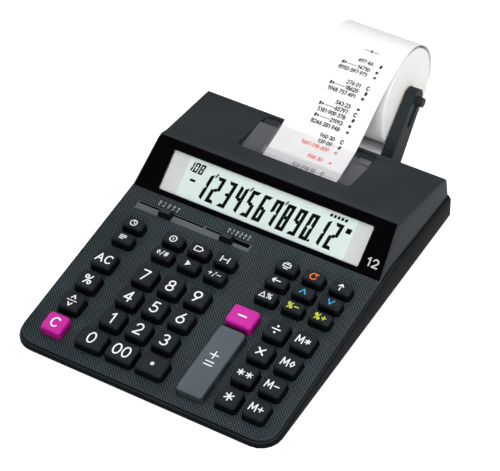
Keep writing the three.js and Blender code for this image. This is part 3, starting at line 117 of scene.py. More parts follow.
def srgb(red, green, blue):
    """Linear colour of an 8-bit screen colour."""

    def linear(value):
        value /= 255
        return value / 12.92 if value <= 0.04045 else ((value + 0.055) / 1.055) ** 2.4

    return (linear(red), linear(green), linear(blue), 1)


class Nodes:
    """The nodes of a material or a world."""

    def __init__(self, owner):
        owner.use_nodes = True
        self.owner = owner
        self.tree = owner.node_tree

    def feed(self, node, inputs):
        """Gives inputs of a node a plain value or a link each."""
        for key, value in inputs.items():
            if isinstance(value, (int, float, tuple)):
                node.inputs[key].default_value = value
            else:
                self.tree.links.new(value, node.inputs[key])

    def node(self, kind, inputs=None, **settings):
        made = self.tree.nodes.new(kind)
        for key, value in settings.items():
            setattr(made, key, value)
        self.feed(made, inputs or {})
        return made

    def spread(self, value, low, high):
        return self.node("ShaderNodeMapRange", {"Value": value, "To Min": low, "To Max": high}).outputs["Result"]

    def seen(self):
        return self.node("ShaderNodeLightPath").outputs["Is Camera Ray"]


class Finish(Nodes):
    """A material under construction."""

    def __init__(self, name):
        super().__init__(bpy.data.materials.new(name))
        self.shader = self.tree.nodes["Principled BSDF"]
        self.places = self.node("ShaderNodeTexCoord").outputs["Object"]

    def number(self, operation, *inputs):
        return self.node("ShaderNodeMath", dict(enumerate(inputs)), operation=operation).outputs[0]

    def mapped(self, **changes):
        return self.node("ShaderNodeMapping", {"Vector": self.places, **changes}).outputs["Vector"]

    def noise(self, scale, detail=3, rough=0.5, stretch=None):
        places = self.mapped(Scale=stretch) if stretch else self.places
        inputs = {"Scale": scale, "Detail": detail, "Roughness": rough, "Vector": places}
        return self.node("ShaderNodeTexNoise", inputs).outputs["Fac"]

    def blotch(self, fine, broad, share):
        """Mixture of two noises, with the fine one's share."""
        return self.number("MULTIPLY_ADD", fine, share, self.number("MULTIPLY", broad, 1 - share))

    def ramp(self, value, stops):
        made = self.node("ShaderNodeValToRGB", {"Fac": value})
        elements = made.color_ramp.elements
        while len(elements) < len(stops):
            elements.new(0.5)
        for element, (place, colour) in zip(elements, stops):
            element.position = place
            element.color = colour
        return made.outputs["Color"]

    def tint(self, value, dark, light, low=0.3, high=0.7):
        """Colour between two screen colours."""
        return self.ramp(value, [(low, srgb(*dark)), (high, srgb(*light))])

    def finish(self, colour, roughness, height, depth, edge=0, specular=0.5, metallic=0):
        """Links colour, roughness and bump. roughness: a value and its range; depth and softened edge in mm."""
        relief = {"Strength": 1, "Distance": depth * MM, "Height": height}
        if edge:
            soft = self.node("ShaderNodeBevel", {"Radius": edge * MM}, samples=BEVEL_SAMPLES)
            relief["Normal"] = soft.outputs["Normal"]
        bump = self.node("ShaderNodeBump", relief).outputs["Normal"]
        self.feed(self.shader, {"Base Color": colour, "Roughness": self.spread(*roughness), "Normal": bump,
                                "Specular IOR Level": specular, "Metallic": metallic})
        return self.owner

    def see_through(self, haze, dark, light, share, coat):
        """Surface that lets light straight through under a share of another shader."""
        tint = self.ramp(haze, [(0.2, (*dark, 1)), (0.8, (*light, 1))])
        through = self.node("ShaderNodeBsdfTransparent", {"Color": tint}).outputs["BSDF"]
        blend = self.node("ShaderNodeMixShader", {0: share, 1: through, 2: coat.outputs["BSDF"]})
        self.feed(self.tree.nodes["Material Output"], {"Surface": blend.outputs["Shader"]})
        return self.owner


def plastic(name, dark, light, low=0.35, high=0.5, grain=1400, depth=0.02, edge=0.25, specular=0.12):
    """Moulded plastic: a fine grain, a slight drift of colour, and roughness that varies with both."""
    made = Finish(name)
    fine = made.noise(grain, 2, 0.6)
    blotch = made.blotch(fine, made.noise(22), 0.4)
    return made.finish(made.tint(blotch, dark, light), (blotch, low, high), fine, depth, edge, specular)


def key_plastic(name, dark, light, low=0.4, high=0.55, edge=0.15, specular=0.12):
    """Plastic of the keys, with a finer grain."""
    return plastic(name, dark, light, low, high, 1700, 0.03, edge, specular)


def woven_deck():
    """Deck skin: a staggered lattice of raised dots moulded into dark plastic, with the dots painted paler as sheen
    and the gaps painted darker as shade.
    """
    made = Finish("deck_weave")
    split = made.node("ShaderNodeSeparateXYZ", {"Vector": made.mapped(Rotation=(-DECK_ANGLE, 0, 0))})
    turns = 2 * math.pi / (WEAVE_PITCH * MM)
    waves = [made.number("COSINE", made.number("MULTIPLY", split.outputs[axis], turns)) for axis in "XY"]
    dots = made.number("MULTIPLY_ADD", made.number("MULTIPLY", *waves), 0.5, 0.5)
    # Painted sheen on the dots' crowns and painted shade in the gaps between them: the ramp runs from near black to
    # pale grey
    lattice = made.ramp(dots, [(0.2, srgb(8, 12, 15)), (0.5, srgb(33, 39, 42)), (0.8, srgb(80, 91, 96))])
    shade = made.tint(made.noise(30), (205, 210, 212), (250, 255, 255))
    # A mix node takes its share at input 0 and its two colours at 6 and 7
    mixed = made.node("ShaderNodeMix", {0: 1, 6: lattice, 7: shade}, data_type="RGBA", blend_type="MULTIPLY")
    return made.finish(mixed.outputs[2], (dots, 0.42, 0.62), dots, 0.14, 0.2, 0.12)


def gloss_sheet():
    """Glossy black sheet with a faint smear."""
    made = Finish("gloss_black_sheet")
    smear = made.noise(60, 4, 0.6, (1, 3, 1))
    tint = made.tint(smear, (1, 1, 2), (4, 4, 5))
    return made.finish(tint, (smear, 0.04, 0.14), made.noise(900, 2), 0.003, 0.3, 0.08)


def clear_pane():
    """Clear window: faint tint, fine haze and a gloss that grows at grazing angles."""
    made = Finish("clear_pane")
    haze = made.noise(160, 3, 0.6)
    gloss = made.node("ShaderNodeBsdfGlossy", {"Roughness": made.spread(haze, 0.03, 0.12)})
    share = made.number("MULTIPLY", made.node("ShaderNodeFresnel", {"IOR": 1.35}).outputs["Fac"], 0.5)
    return made.see_through(haze, (0.97, 0.98, 0.98), (0.99, 1, 1), share, gloss)


def tear_pane(name, veil, dark, light):
    """Grey plastic of the tear bar, which veils the print below it by a share."""
    made = Finish(name)
    haze = made.noise(90, 3, 0.6, (1, 4, 4))
    made.feed(made.shader, {"Base Color": made.tint(haze, dark, light), "Roughness": made.spread(haze, 0.12, 0.25)})
    return made.see_through(haze, (0.975, 0.975, 0.98), (0.99, 0.99, 0.99), veil, made.shader)


def fibre(name, dark, light, depth=0.01):
    """Paper: pale fibres with a faint mottle."""
    made = Finish(name)
    fibres = made.noise(1800, 4, 0.7, (1, 0.35, 0.35))
    tint = made.tint(made.blotch(fibres, made.noise(120), 0.4), dark, light)
    return made.finish(tint, (fibres, 0.75, 0.95), fibres, depth, specular=0.2)


def wound_sides(roll_y, roll_z):
    """Side of the roll: the edges of wound layers as fine rings."""
    made = Finish("wound_paper_side")
    centred = made.mapped(Location=(0, -(FRONT + roll_y * MM), -roll_z * MM), Scale=(0, 1, 1))
    radius = made.node("ShaderNodeVectorMath", {0: centred}, operation="LENGTH").outputs["Value"]
    wander = made.number("MULTIPLY", made.noise(70, 2), RING_WANDER)
    rings = made.number("SINE", made.number("MULTIPLY", made.number("ADD", radius, wander), RING_DENSITY))
    level = made.number("MULTIPLY_ADD", rings, 0.5, 0.5)
    tint = made.tint(level, (228, 227, 224), (248, 248, 246), 0.1, 0.9)
    return made.finish(tint, (level, 0.8, 0.95), level, 0.05)


def ink(name, dark, light):
    """Ink that covers a little unevenly."""
    made = Finish(name)
    patchy = made.noise(2600, 3, 0.7)
    return made.finish(made.tint(patchy, dark, light, 0.35), (patchy, 0.5, 0.8), patchy, 0.01)


def metal(name, dark, light):
    """Metal brushed along the width of the case."""
    made = Finish(name)
    brushed = made.noise(500, 3, 0.6, (1, 12, 12))
    tint = made.tint(brushed, dark, light)
    return made.finish(tint, (brushed, 0.2, 0.4), brushed, 0.01, 0.15, metallic=1)


def lcd_glass(name, dark, light, low=0.4, high=0.55, specular=0.15):
    """Parts of the display: smooth, with a fine grain and a slow drift of colour."""
    made = Finish(name)
    grain = made.noise(1500, 2)
    tint = made.tint(made.blotch(grain, made.noise(18, 2), 0.3), dark, light)
    return made.finish(tint, (grain, low, high), grain, 0.004, 0, specular)


def circuit_board():
    """Green board with a net of bare tracks."""
    made = Finish("membrane_board")
    cells = made.node("ShaderNodeTexVoronoi", {"Scale": 160, "Vector": made.places}, feature="DISTANCE_TO_EDGE")
    tracks = made.tint(cells.outputs["Distance"], (150, 122, 60), (24, 78, 50), 0.03, 0.09)
    grain = made.noise(700, 2)
    return made.finish(tracks, (grain, 0.35, 0.6), grain, 0.02)


WEAVE = woven_deck()
HOUSING = plastic("housing_plastic", (38, 42, 46), (48, 53, 57), 0.38, 0.5)
# Near black: painted shade on the case's inner faces, slot walls and screw recesses, and the real colour of the
# switch bodies
INNER_SHADE_AND_SWITCH_BLACK = plastic("inside_plastic", (6, 7, 8), (12, 13, 14), 0.5, 0.7, specular=0.06)
BAND = plastic("slider_band", (78, 84, 87), (94, 100, 103), 0.4, 0.55)
BASE = plastic("base_plastic", (8, 10, 12), (14, 17, 19), 0.36, 0.48, specular=0.04)
# Paler copy of the base plastic for the rim's sloping chamfer: painted sheen
RIM_SHEEN = plastic("rim_plastic", (24, 28, 31), (34, 39, 42), 0.3, 0.42, specular=0.06)
RUBBER = plastic("foot_rubber", (20, 20, 21), (34, 34, 35), 0.75, 0.9, 2200, 0.05)
GLOSS = gloss_sheet()
CLEAR = clear_pane()
TEAR = tear_pane("tear_bar_clear", 0.07, (166, 164, 161), (182, 180, 177))
# Greyer tint and thicker veil along the bar's downturned front: painted shade
TEAR_BAND_SHADE = tear_pane("tear_bar_band", 0.2, (150, 151, 154), (172, 173, 176))
LCD = lcd_glass("lcd_aqua", (224, 236, 232), (232, 243, 239), 0.25, 0.4)
LCD_STRIP = lcd_glass("lcd_side_strip", (214, 213, 212), (226, 225, 224))
LCD_EDGE = lcd_glass("lcd_white_edge", (224, 230, 229), (240, 244, 243))
LCD_BLACK = lcd_glass("lcd_segment", (1, 2, 3), (5, 7, 8), 0.45, 0.6, 0.03)
# Each key plastic comes twice: the top in its own colour, and a darker copy for the walls as painted shade
KEY_BLACK = key_plastic("key_black", (21, 25, 29), (29, 34, 39))
KEY_SHADED_WALL = key_plastic("key_wall", (5, 6, 7), (10, 12, 13), 0.45, 0.6, specular=0.06)
KEY_MAGENTA = key_plastic("key_magenta", (186, 26, 146), (202, 38, 160), 0.38, 0.5, specular=0.2)
MAGENTA_SHADED_WALL = key_plastic("magenta_wall", (140, 14, 106), (158, 22, 122), 0.38, 0.5)
KEY_SLATE = key_plastic("key_slate", (72, 81, 87), (85, 95, 101), 0.42, 0.55, 0.2, 0.15)
SLATE_SHADED_WALL = key_plastic("slate_wall", (38, 45, 49), (50, 57, 62), 0.42, 0.55, 0.2)
# The knob's top is a paler copy of its plastic: painted light on the upward faces
KNOB = plastic("knob_plastic", (8, 10, 12), (16, 18, 20), 0.45, 0.6)
KNOB_LIT_TOP = plastic("knob_top", (46, 50, 54), (58, 62, 66), 0.45, 0.6)
ARM = plastic("arm_plastic", (28, 34, 37), (40, 47, 50), 0.4, 0.55)
COVER = plastic("cover_plastic", (80, 82, 86), (95, 97, 102), 0.4, 0.55)
WHITE_INK = ink("legend_white", (226, 228, 230), (246, 247, 248))
BLUE_INK = ink("legend_blue", (24, 150, 205), (44, 172, 224))
LIME_INK = ink("legend_lime", (186, 204, 36), (206, 222, 52))
ORANGE_INK = ink("legend_orange", (222, 96, 26), (238, 112, 38))
PALE_INK = ink("deck_mark", (176, 180, 182), (206, 209, 211))
BLACK_PRINT = ink("strip_print_black", (10, 10, 14), (34, 34, 38))
RED_PRINT = ink("strip_print_red", (232, 100, 88), (240, 138, 122))
PALE_PRINT = ink("strip_print_pale", (92, 92, 96), (124, 124, 128))
PAPER = fibre("paper_white", (240, 240, 241), (250, 250, 251))
CORE = fibre("core_card", (150, 128, 100), (176, 152, 120), 0.03)
STEEL = metal("steel", (120, 122, 124), (170, 172, 174))
SCREW_STEEL = metal("screw_zinc", (96, 98, 100), (150, 152, 154))
ROLLER_RUBBER = plastic("roller_rubber", (22, 22, 23), (36, 36, 37), 0.7, 0.9, 2400, 0.06)
DRUM = plastic("drum_plastic", (60, 62, 66), (84, 86, 90), 0.3, 0.45)
JACKET = plastic("cell_jacket", (120, 92, 40), (148, 116, 56), 0.25, 0.4)
BOARD = circuit_board()


# -------- meshes

WELD_DISTANCE = 0.002
CRISP_ANGLE = 32
CORNER_STEPS = 4


def in_scene(name, data):
    """New object of a mesh, a light or a camera."""
    made = bpy.data.objects.new(name, data)
    bpy.context.scene.collection.objects.link(made)
    return made


def new_piece(name, places, faces, materials, kinds=None, matrix=LEVEL, sharp=CRISP_ANGLE):
    """A welded piece from places in one of the frames. kinds gives the index of each face's material."""
    mesh = bpy.data.meshes.new(name)
    mesh.from_pydata([matrix @ Vector(p) for p in places], [], faces)
    for material in materials:
        mesh.materials.append(material)
    if kinds:
        for polygon, index in zip(mesh.polygons, kinds):
            polygon.material_index = index
    return finish_mesh(name, mesh, sharp)


def finish_mesh(name, mesh, sharp, turn_out=True, cut=None):
    build = bmesh.new()
    build.from_mesh(mesh)
    bmesh.ops.remove_doubles(build, verts=build.verts, dist=WELD_DISTANCE * MM)
    if cut:
        everything = build.verts[:] + build.edges[:] + build.faces[:]
        bmesh.ops.bisect_plane(build, geom=everything, plane_co=cut[0], plane_no=cut[1])
    if turn_out:
        bmesh.ops.recalc_face_normals(build, faces=build.faces)
    build.to_mesh(mesh)
    build.free()
    for polygon in mesh.polygons:
        polygon.use_smooth = True
    mesh.set_sharp_from_angle(angle=math.radians(sharp))
    return in_scene(name, mesh)


def material_index(mesh, material):
    """Index of a material in a mesh, which gets it if it lacks it."""
    if material.name not in mesh.materials:
        mesh.materials.append(material)
    return mesh.materials.find(material.name)


def add_to(piece, places, faces, material, matrix=LEVEL):
    """Adds faces of one material to a piece, with their winding kept."""
    mesh = piece.data
    index = material_index(mesh, material)
    build = bmesh.new()
    build.from_mesh(mesh)
    corners = [build.verts.new(matrix @ Vector(p)) for p in places]
    for face in faces:
        made = build.faces.new([corners[i] for i in face])
        made.material_index = index
    build.to_mesh(mesh)
    build.free()


def gather(places, faces, more_places, more_faces):
    """Appends places and their faces to those already gathered."""
    first = len(places)
    places.extend(more_places)
    faces.extend(tuple(first + i for i in face) for face in more_faces)


def loft(rings, low_cap=True, high_cap=True):
    """Places and faces of a skin through rings of equal count."""
    count = len(rings[0])
    places = [p for ring in rings for p in ring]
    faces = []
    for level in range(len(rings) - 1):
        for i in range(count):
            a = level * count + i
            b = level * count + (i + 1) % count
            faces.append((a, b, b + count, a + count))
    if low_cap:
        faces.append(tuple(reversed(range(count))))
    if high_cap:
        last = (len(rings) - 1) * count
        faces.append(tuple(range(last, last + count)))
    return places, faces


def box_corners(left, right, front, rear):
    return [(left, front), (right, front), (right, rear), (left, rear)]


def at_height(outline, z):
    return [(x, y, z) for x, y in outline]


def arc(x, y, radius_x, radius_y, start, end, steps=12):
    """Points from one angle to another, in degrees."""
    turns = [math.radians(start + (end - start) * i / steps) for i in range(steps + 1)]
    return [(x + radius_x * math.cos(turn), y + radius_y * math.sin(turn)) for turn in turns]


def rounded(x, y, half_width, half_depth, radius, along=1):
    """Outline of a rectangle with round corners and its sides in a number of parts."""
    corners = []
    for corner, (side_x, side_y) in enumerate(((1, -1), (1, 1), (-1, 1), (-1, -1))):
        middle_x = x + side_x * (half_width - radius)
        middle_y = y + side_y * (half_depth - radius)
        start = (corner - 1) * 90
        corners.append(arc(middle_x, middle_y, radius, radius, start, start + 90, CORNER_STEPS))
    points = []
    for i, corner_points in enumerate(corners):
        start, end = Vector(corner_points[-1]), Vector(corners[(i + 1) % 4][0])
        points += corner_points + [tuple(start.lerp(end, part / along)) for part in range(1, along)]
    return points


def dress(node, name, body, paint, sharp=CRISP_ANGLE, cut=None):
    """A welded copy of a CAD node with crisp corners. paint gives a material for a face's centre and normal.
    cut is a plane, as a place and a direction, that splits its faces for the paint."""
    mesh = frame["nodes"][node].data.copy()
    mesh.materials.clear()
    if "custom_normal" in mesh.attributes:
        mesh.attributes.remove(mesh.attributes["custom_normal"])
    piece = finish_mesh(name, mesh, sharp, False, cut)
    for polygon in mesh.polygons:
        material = paint(polygon.center, polygon.normal) if callable(paint) else paint
        polygon.material_index = material_index(mesh, material)
    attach(piece, body)
    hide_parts(node)
    return piece


def frame_body(node):
    return frame["nodes"][node]["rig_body"]


def extent(spots):
    return [Vector(end(spot[i] for spot in spots) for i in range(3)) for end in (min, max)]


def in_frame(matrix, node):
    """Lowest and highest corner of a CAD node in one of the frames."""
    inverse = matrix.inverted()
    return extent([inverse @ v.co for v in frame["nodes"][node].data.vertices])


# -------- strokes and signs


def loop(x, y, radius_x, radius_y, steps=20):
    return ("loop", arc(x, y, radius_x, radius_y, 0, 360, steps)[:-1])


def closed(*points):
    return ("loop", list(points))


def line(*points):
    return ("line", list(points))


def legs(*points):
    """Straight strokes from each point to the next."""
    return [line(*ends) for ends in zip(points, points[1:])]


def bars(*ends):
    """Separate straight strokes, each from the x and y of its two ends."""
    return [line(ends[i:i + 2], ends[i + 2:i + 4]) for i in range(0, len(ends), 4)]


def disc(x, y, radius):
    return ("fill", arc(x, y, radius, radius, 0, 360)[:-1])


# Each sign: its width and its strokes, in hundredths of its height
SIGNS = {
    "0": (62, [loop(31, 50, 31, 50)]),
    "1": (40, legs((6, 80), (30, 100), (30, 0))),
    "2": (62, [line(*arc(31, 69, 29, 31, 165, -38), (0, 0)), line((0, 0), (62, 0))]),
    "3": (60, [line(*arc(28, 75.5, 26, 24.5, 150, -90)), line(*arc(28, 25.5, 31, 25.5, 90, -150))]),
    "4": (64, legs((46, 0), (46, 100), (0, 30), (64, 30))),
    "5": (60, legs((54, 100), (14, 100), (8, 55)) + [line(*arc(28, 31, 32, 31, 130, -150))]),
    "6": (62, [loop(31, 30, 31, 30), line((46, 100), (5, 42))]),
    "7": (60, legs((0, 100), (60, 100), (18, 0))),
    "8": (62, [loop(31, 75.5, 25, 24.5), loop(31, 25.5, 31, 25.5)]),
    "9": (62, [loop(31, 70, 31, 30), line((16, 0), (57, 58))]),
    "mid": (20, [disc(10, 42, 13)]),
    "dash": (16, bars(4, 45, 12, 45)),
    "o": (30, [disc(15, 50, 17)]),
    "+": (60, bars(0, 50, 60, 50, 30, 20, 30, 80)),
    "-": (60, bars(0, 50, 60, 50)),
    "=": (60, bars(0, 64, 60, 64, 0, 36, 60, 36)),
    "bar": (220, bars(0, 50, 220, 50)),
    "x": (56, bars(2, 24, 54, 76, 2, 76, 54, 24)),
    ":": (60, [line((0, 50), (60, 50)), disc(30, 78, 9), disc(30, 22, 9)]),
    "%": (80, [loop(17, 78, 15, 18, 14), loop(63, 22, 15, 18, 14), line((12, 6), (68, 94))]),
    "*": (60, bars(30, 18, 30, 82, 2, 34, 58, 66, 2, 66, 58, 34)),
    "/": (40, bars(0, 0, 40, 100)),
    "#": (60, bars(14, 10, 24, 90, 38, 10, 48, 90, 0, 34, 58, 34, 4, 66, 62, 66)),
    "<>": (50, [closed((25, 14), (50, 50), (25, 86), (0, 50))]),
    ">": (80, [("fill", [(0, 0), (80, 50), (0, 100)])]),
    "^": (90, legs((0, 12), (45, 88), (90, 12))),
    "v": (90, legs((0, 88), (45, 12), (90, 88))),
    "D": (86, [closed((0, 6), (86, 6), (43, 94))]),
    "C": (70, [line(*arc(42, 50, 40, 50, 48, 312, 16))]),
    "A": (76, legs((0, 0), (38, 100), (76, 0)) + bars(14, 34, 62, 34)),
    "M": (80, legs((0, 0), (8, 100), (40, 24), (72, 100), (80, 0))),
    "clock": (100, [loop(50, 50, 50, 50)] + bars(50, 50, 50, 82, 50, 50, 74, 42)),
    "list": (130, bars(0, 90, 130, 90, 0, 50, 130, 50, 0, 10, 80, 10)),
    "coin": (100, [loop(50, 50, 50, 50), disc(50, 50, 16)]),
    "tag": (130, [closed((0, 10), (90, 10), (130, 50), (90, 90), (0, 90))]),
    "gap": (120, bars(0, 0, 0, 100, 120, 0, 120, 100, 30, 50, 90, 50)),
    "sheet": (110, [closed((0, 30), (110, 30), (110, 75), (0, 75))] + bars(25, 0, 85, 0, 25, 100, 85, 100)),
    "again": (110, [line(*arc(55, 50, 50, 50, 60, 330, 16))] + bars(80, 93, 84, 62, 80, 93, 110, 98)),
    "feed": (90, bars(45, 0, 45, 100, 12, 64, 45, 100, 78, 64, 45, 100)),
    "undo": (130, bars(0, 50, 130, 50, 0, 50, 40, 90, 0, 50, 40, 10)),
}
SIGN_GAP = 26
STROKE_LIFT = 0.03  # of a first stroke over its surface; each further one lies a step higher
STROKE_STEP = 0.004
STROKE_CAP_STEPS = 6
SHARPEST_MITRE = 0.5


def stroke_mesh(kind, points, width):
    """Flat places and faces of a filled outline, a closed ring, or a line with round ends."""
    if kind == "fill":
        return list(points), [tuple(range(len(points)))]
    count = len(points)
    ring = kind == "loop"
    places, faces = [], []
    for i, point in enumerate(points):
        before = points[i - 1] if ring or i else point
        after = points[(i + 1) % count] if ring or i + 1 < count else point
        into = Vector((point[0] - before[0], point[1] - before[1]))
        onward = Vector((after[0] - point[0], after[1] - point[1]))
        into = into.normalized() if into.length else onward.normalized()
        onward = onward.normalized() if onward.length else into
        middle = (into + onward).normalized()
        reach = width / 2 / max(SHARPEST_MITRE, middle.dot(onward))
        places.append((point[0] - middle.y * reach, point[1] + middle.x * reach))
        places.append((point[0] + middle.y * reach, point[1] - middle.x * reach))
    for i in range(count if ring else count - 1):
        a, b = 2 * i, 2 * ((i + 1) % count)
        faces.append((a + 1, b + 1, b, a))
    if not ring:
        for (x, y), (other_x, other_y) in ((points[0], points[1]), (points[-1], points[-2])):
            heading = math.degrees(math.atan2(y - other_y, x - other_x))
            cap = arc(x, y, width / 2, width / 2, heading - 90, heading + 90, STROKE_CAP_STEPS)
            gather(places, faces, cap, [range(len(cap))])
    return places, faces


def write(signs, x, y, height, width, level, narrow=1.0):
    """Places and faces of a row of signs centred on x, y. level(x, y) is the surface's height there."""
    total = sum(SIGNS[s][0] for s in signs) + SIGN_GAP * (len(signs) - 1)
    unit = height / 100
    cursor = x - total * unit * narrow / 2
    places, faces = [], []
    lift = STROKE_LIFT
    for sign in signs:
        for kind, points in SIGNS[sign][1]:
            moved = [(cursor + px * unit * narrow, y + (py - 50) * unit) for px, py in points]
            flat, made = stroke_mesh(kind, moved, width)
            gather(places, faces, [(px, py, level(px, py) + lift) for px, py in flat], made)
            lift += STROKE_STEP
        cursor += (SIGNS[sign][0] + SIGN_GAP) * unit * narrow
    return places, faces


def level_zero(x, y):
    return 0.0


# -------- case

SHELL_CRISP_ANGLE = 28
# The rim's upper half is painted pale as sheen on its chamfer
RIM_LOW = -2.7  # lower edge of the rim's pale upper half, below the deck's surface
RIM_SLOPE = (0.3, 0.65)
RIM_CLEARANCE = 5
FOOT_TOP = 2.9
UPWARD = 0.9
SIDEWAYS = 0.5
DECK_REAR_Y = 146.5
BAND_FRONT_Y = 125
BAND_TOP = -0.3
# Faces below the deck inside these bounds, and the slot walls, get the near black of painted shade
INNER_TOP, INNER_REAR_Y, INNER_HALF = -1.2, 140, 91
SLOT_FRONT_Y, SLOT_REAR_Y, SLOT_HALF = 126, 139, 90
SWITCHES_FRONT_Y = 131


def deck_place(spot):
    """A row place in deck millimetres."""
    return DECK.inverted() @ spot


def paint_upper(centre, normal):
    """Woven deck, band of the sliders, inner faces and slot walls painted near black as shade, and the housing."""
    spot = deck_place(centre)
    facing = (DECK.inverted().to_3x3().normalized() @ normal).normalized()
    if facing.z > UPWARD and spot.y < DECK_REAR_Y:
        return BAND if spot.z < BAND_TOP and spot.y > BAND_FRONT_Y else WEAVE
    if spot.z < INNER_TOP and spot.y < INNER_REAR_Y and abs(spot.x) < INNER_HALF:
        return INNER_SHADE_AND_SWITCH_BLACK
    if abs(facing.z) < SIDEWAYS and SLOT_FRONT_Y < spot.y < SLOT_REAR_Y and abs(spot.x) < SLOT_HALF:
        return INNER_SHADE_AND_SWITCH_BLACK
    return HOUSING


def paint_lower(centre, normal):
    """Upper half of the rim painted pale as sheen, rubber soles and the dark base."""
    sloping = RIM_SLOPE[0] < normal.z < RIM_SLOPE[1]
    if sloping and centre.z > RIM_CLEARANCE * MM and deck_place(centre).z > RIM_LOW:
        return RIM_SHEEN
    return RUBBER if centre.z < FOOT_TOP * MM else BASE


def paint_board(centre, normal):
    """Bare board, with the dark switch bodies on its rear tongue."""
    return INNER_SHADE_AND_SWITCH_BLACK if deck_place(centre).y > SWITCHES_FRONT_Y else BOARD


dress("upper_case", "deck_and_housing", "case", paint_upper, SHELL_CRISP_ANGLE)
dress("lower_case", "base_shell", "case", paint_lower, SHELL_CRISP_ANGLE,
      (DECK @ Vector((0, 0, RIM_LOW)), (0, -math.sin(DECK_ANGLE), math.cos(DECK_ANGLE))))
dress("printer_cover", "printer_lid", "case", COVER)
dress("battery_door", "battery_lid", "battery_door", BASE)
dress("battery_cells", "cells", "case", JACKET)
dress("keyboard_board", "membrane_board", "case", paint_board)
dress("printer_mechanism", "printer_frame", "case", STEEL)
dress("feed_roller", "feed_roller_rubber", "feed_roller", ROLLER_RUBBER)
dress("type_drum", "type_wheel_drum", "type_drum", DRUM)
dress("roll_arm", "roll_holder_arms", "roll_holder", ARM)


# -------- display

WINDOW_MIDDLE = (WINDOW_LOW + WINDOW_HIGH) / 2
WINDOW_HALF_HEIGHT = (WINDOW_HIGH - WINDOW_LOW) / 2
SHEET_EDGE = 0.3
PANE_GAP = 0.05
PANE_LEVELS = (-1.3, -0.5)
COUNT = (85.4, 9.4, 5.4, 1.0)  # x, y, height and stroke of the number on the sheet
COUNT_SPREAD = 1.15


def window(grow):
    return rounded(0, WINDOW_MIDDLE, WINDOW_HALF + grow, WINDOW_HALF_HEIGHT + grow, WINDOW_CORNER)


def tapered(margin):
    """Outline of the glossy sheet with small round corners."""
    middle = PANEL_LENGTH / 2
    taper = (PANEL_BOTTOM_HALF - PANEL_TOP_HALF) / PANEL_BOTTOM_HALF
    outline = rounded(0, middle, PANEL_BOTTOM_HALF - margin, middle - margin, PANEL_CORNER)
    return [(x * (1 - taper * y / PANEL_LENGTH), y) for x, y in outline]


def display_sheet():
    """Glossy sheet with softened outer edge and a real window."""
    rings = [at_height(outline, z) for outline, z in (
        (window(0), -PANEL_SHEET), (window(0), -0.35), (window(0.1), -0.1), (window(0.35), 0),
        (tapered(SHEET_EDGE), 0), (tapered(SHEET_EDGE / 4), -SHEET_EDGE / 4), (tapered(0), -SHEET_EDGE),
        (tapered(0), -PANEL_SHEET), (window(0), -PANEL_SHEET),
    )]
    return new_piece("display_sheet", *loft(rings, False, False), [GLOSS], matrix=PANEL)


sheet = display_sheet()
add_to(sheet, *write(["1", "2"], *COUNT, level_zero, COUNT_SPREAD), PALE_INK, PANEL)
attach(sheet, "case")
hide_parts("display_panel")

pane_rings = [at_height(window(-PANE_GAP), z) for z in PANE_LEVELS]
pane = new_piece("display_pane", *loft(pane_rings), [CLEAR], matrix=PANEL)
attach(pane, "case")

AQUA_LEFT, AQUA_RIGHT, AQUA_LOW, AQUA_HIGH = -63.8, 64.2, 4.2, 31.2
AQUA_EDGE = 0.45


def display_glass():
    """Module block whose top has side strips, a pale rim and the aqua field."""
    low, high = in_frame(PANEL, "lcd_module")
    xs = [low.x, AQUA_LEFT - AQUA_EDGE, AQUA_LEFT, AQUA_RIGHT, AQUA_RIGHT + AQUA_EDGE, high.x]
    ys = [low.y, AQUA_LOW - AQUA_EDGE, AQUA_LOW, AQUA_HIGH, AQUA_HIGH + AQUA_EDGE, high.y]
    columns = len(xs)
    middle = columns // 2 - 1
    places = [(x, y, LCD_TOP) for y in ys for x in xs]
    faces, kinds = [], []
    for j in range(columns - 1):
        for i in range(columns - 1):
            a = j * columns + i
            faces.append((a, a + 1, a + 1 + columns, a + columns))
            kinds.append((0, 2, 1)[max(abs(i - middle), abs(j - middle))])
    outline = box_corners(low.x, high.x, low.y, high.y)
    block = loft([at_height(outline, low.z), at_height(outline, LCD_TOP)], high_cap=False)
    gather(places, faces, *block)
    kinds += [1] * len(block[1])
    return new_piece("display_module", places, faces, [LCD, LCD_STRIP, LCD_EDGE], kinds, PANEL)


glass = display_glass()
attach(glass, "case")
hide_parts("lcd_module")

# Segments a to g of each figure, clockwise from the top, with the bar last
LIT = {
    "0": "abcdef", "1": "bc", "2": "abged", "3": "abgcd", "4": "fgbc",
    "5": "afgcd", "6": "afgedc", "7": "abcf", "8": "abcdefg", "9": "abcdfg",
}
SEGMENT_MITRE = 0.6
FIGURE_RISE = 0.03
FIGURE_SLANT = 0.164
FIGURE_LEFT, FIGURE_FOOT, FIGURE_PITCH = -51.9, 6.8, 9.05
FIGURE_SHAPE = (6.2, 19.0, 2.5, 0.02)  # width, height, bar and cut of its segments
SMALL_LEFT, SMALL_FOOT, SMALL_PITCH = -66.2, 22.3, 4.1
SMALL_SHAPE = (3.4, 7.2, 1.2, 0.06)
POINT_FIGURE = 9
COMMA_FIGURES = (0, 3, 6)
COMMA = [(6.8, 17.3), (7.8, 17.3), (8.8, 20.4), (7.5, 20.4)]
# Plain blocks, as width, height and place: the minus sign, the sign at the right and five status marks
BLOCKS = [(4.1, 1.7, -60.2, 16.1), (3.8, 3.6, 56.4, 21.2)] + [(1.9, 2.1, 40.9 + 2.8 * i, 28.0) for i in range(5)]


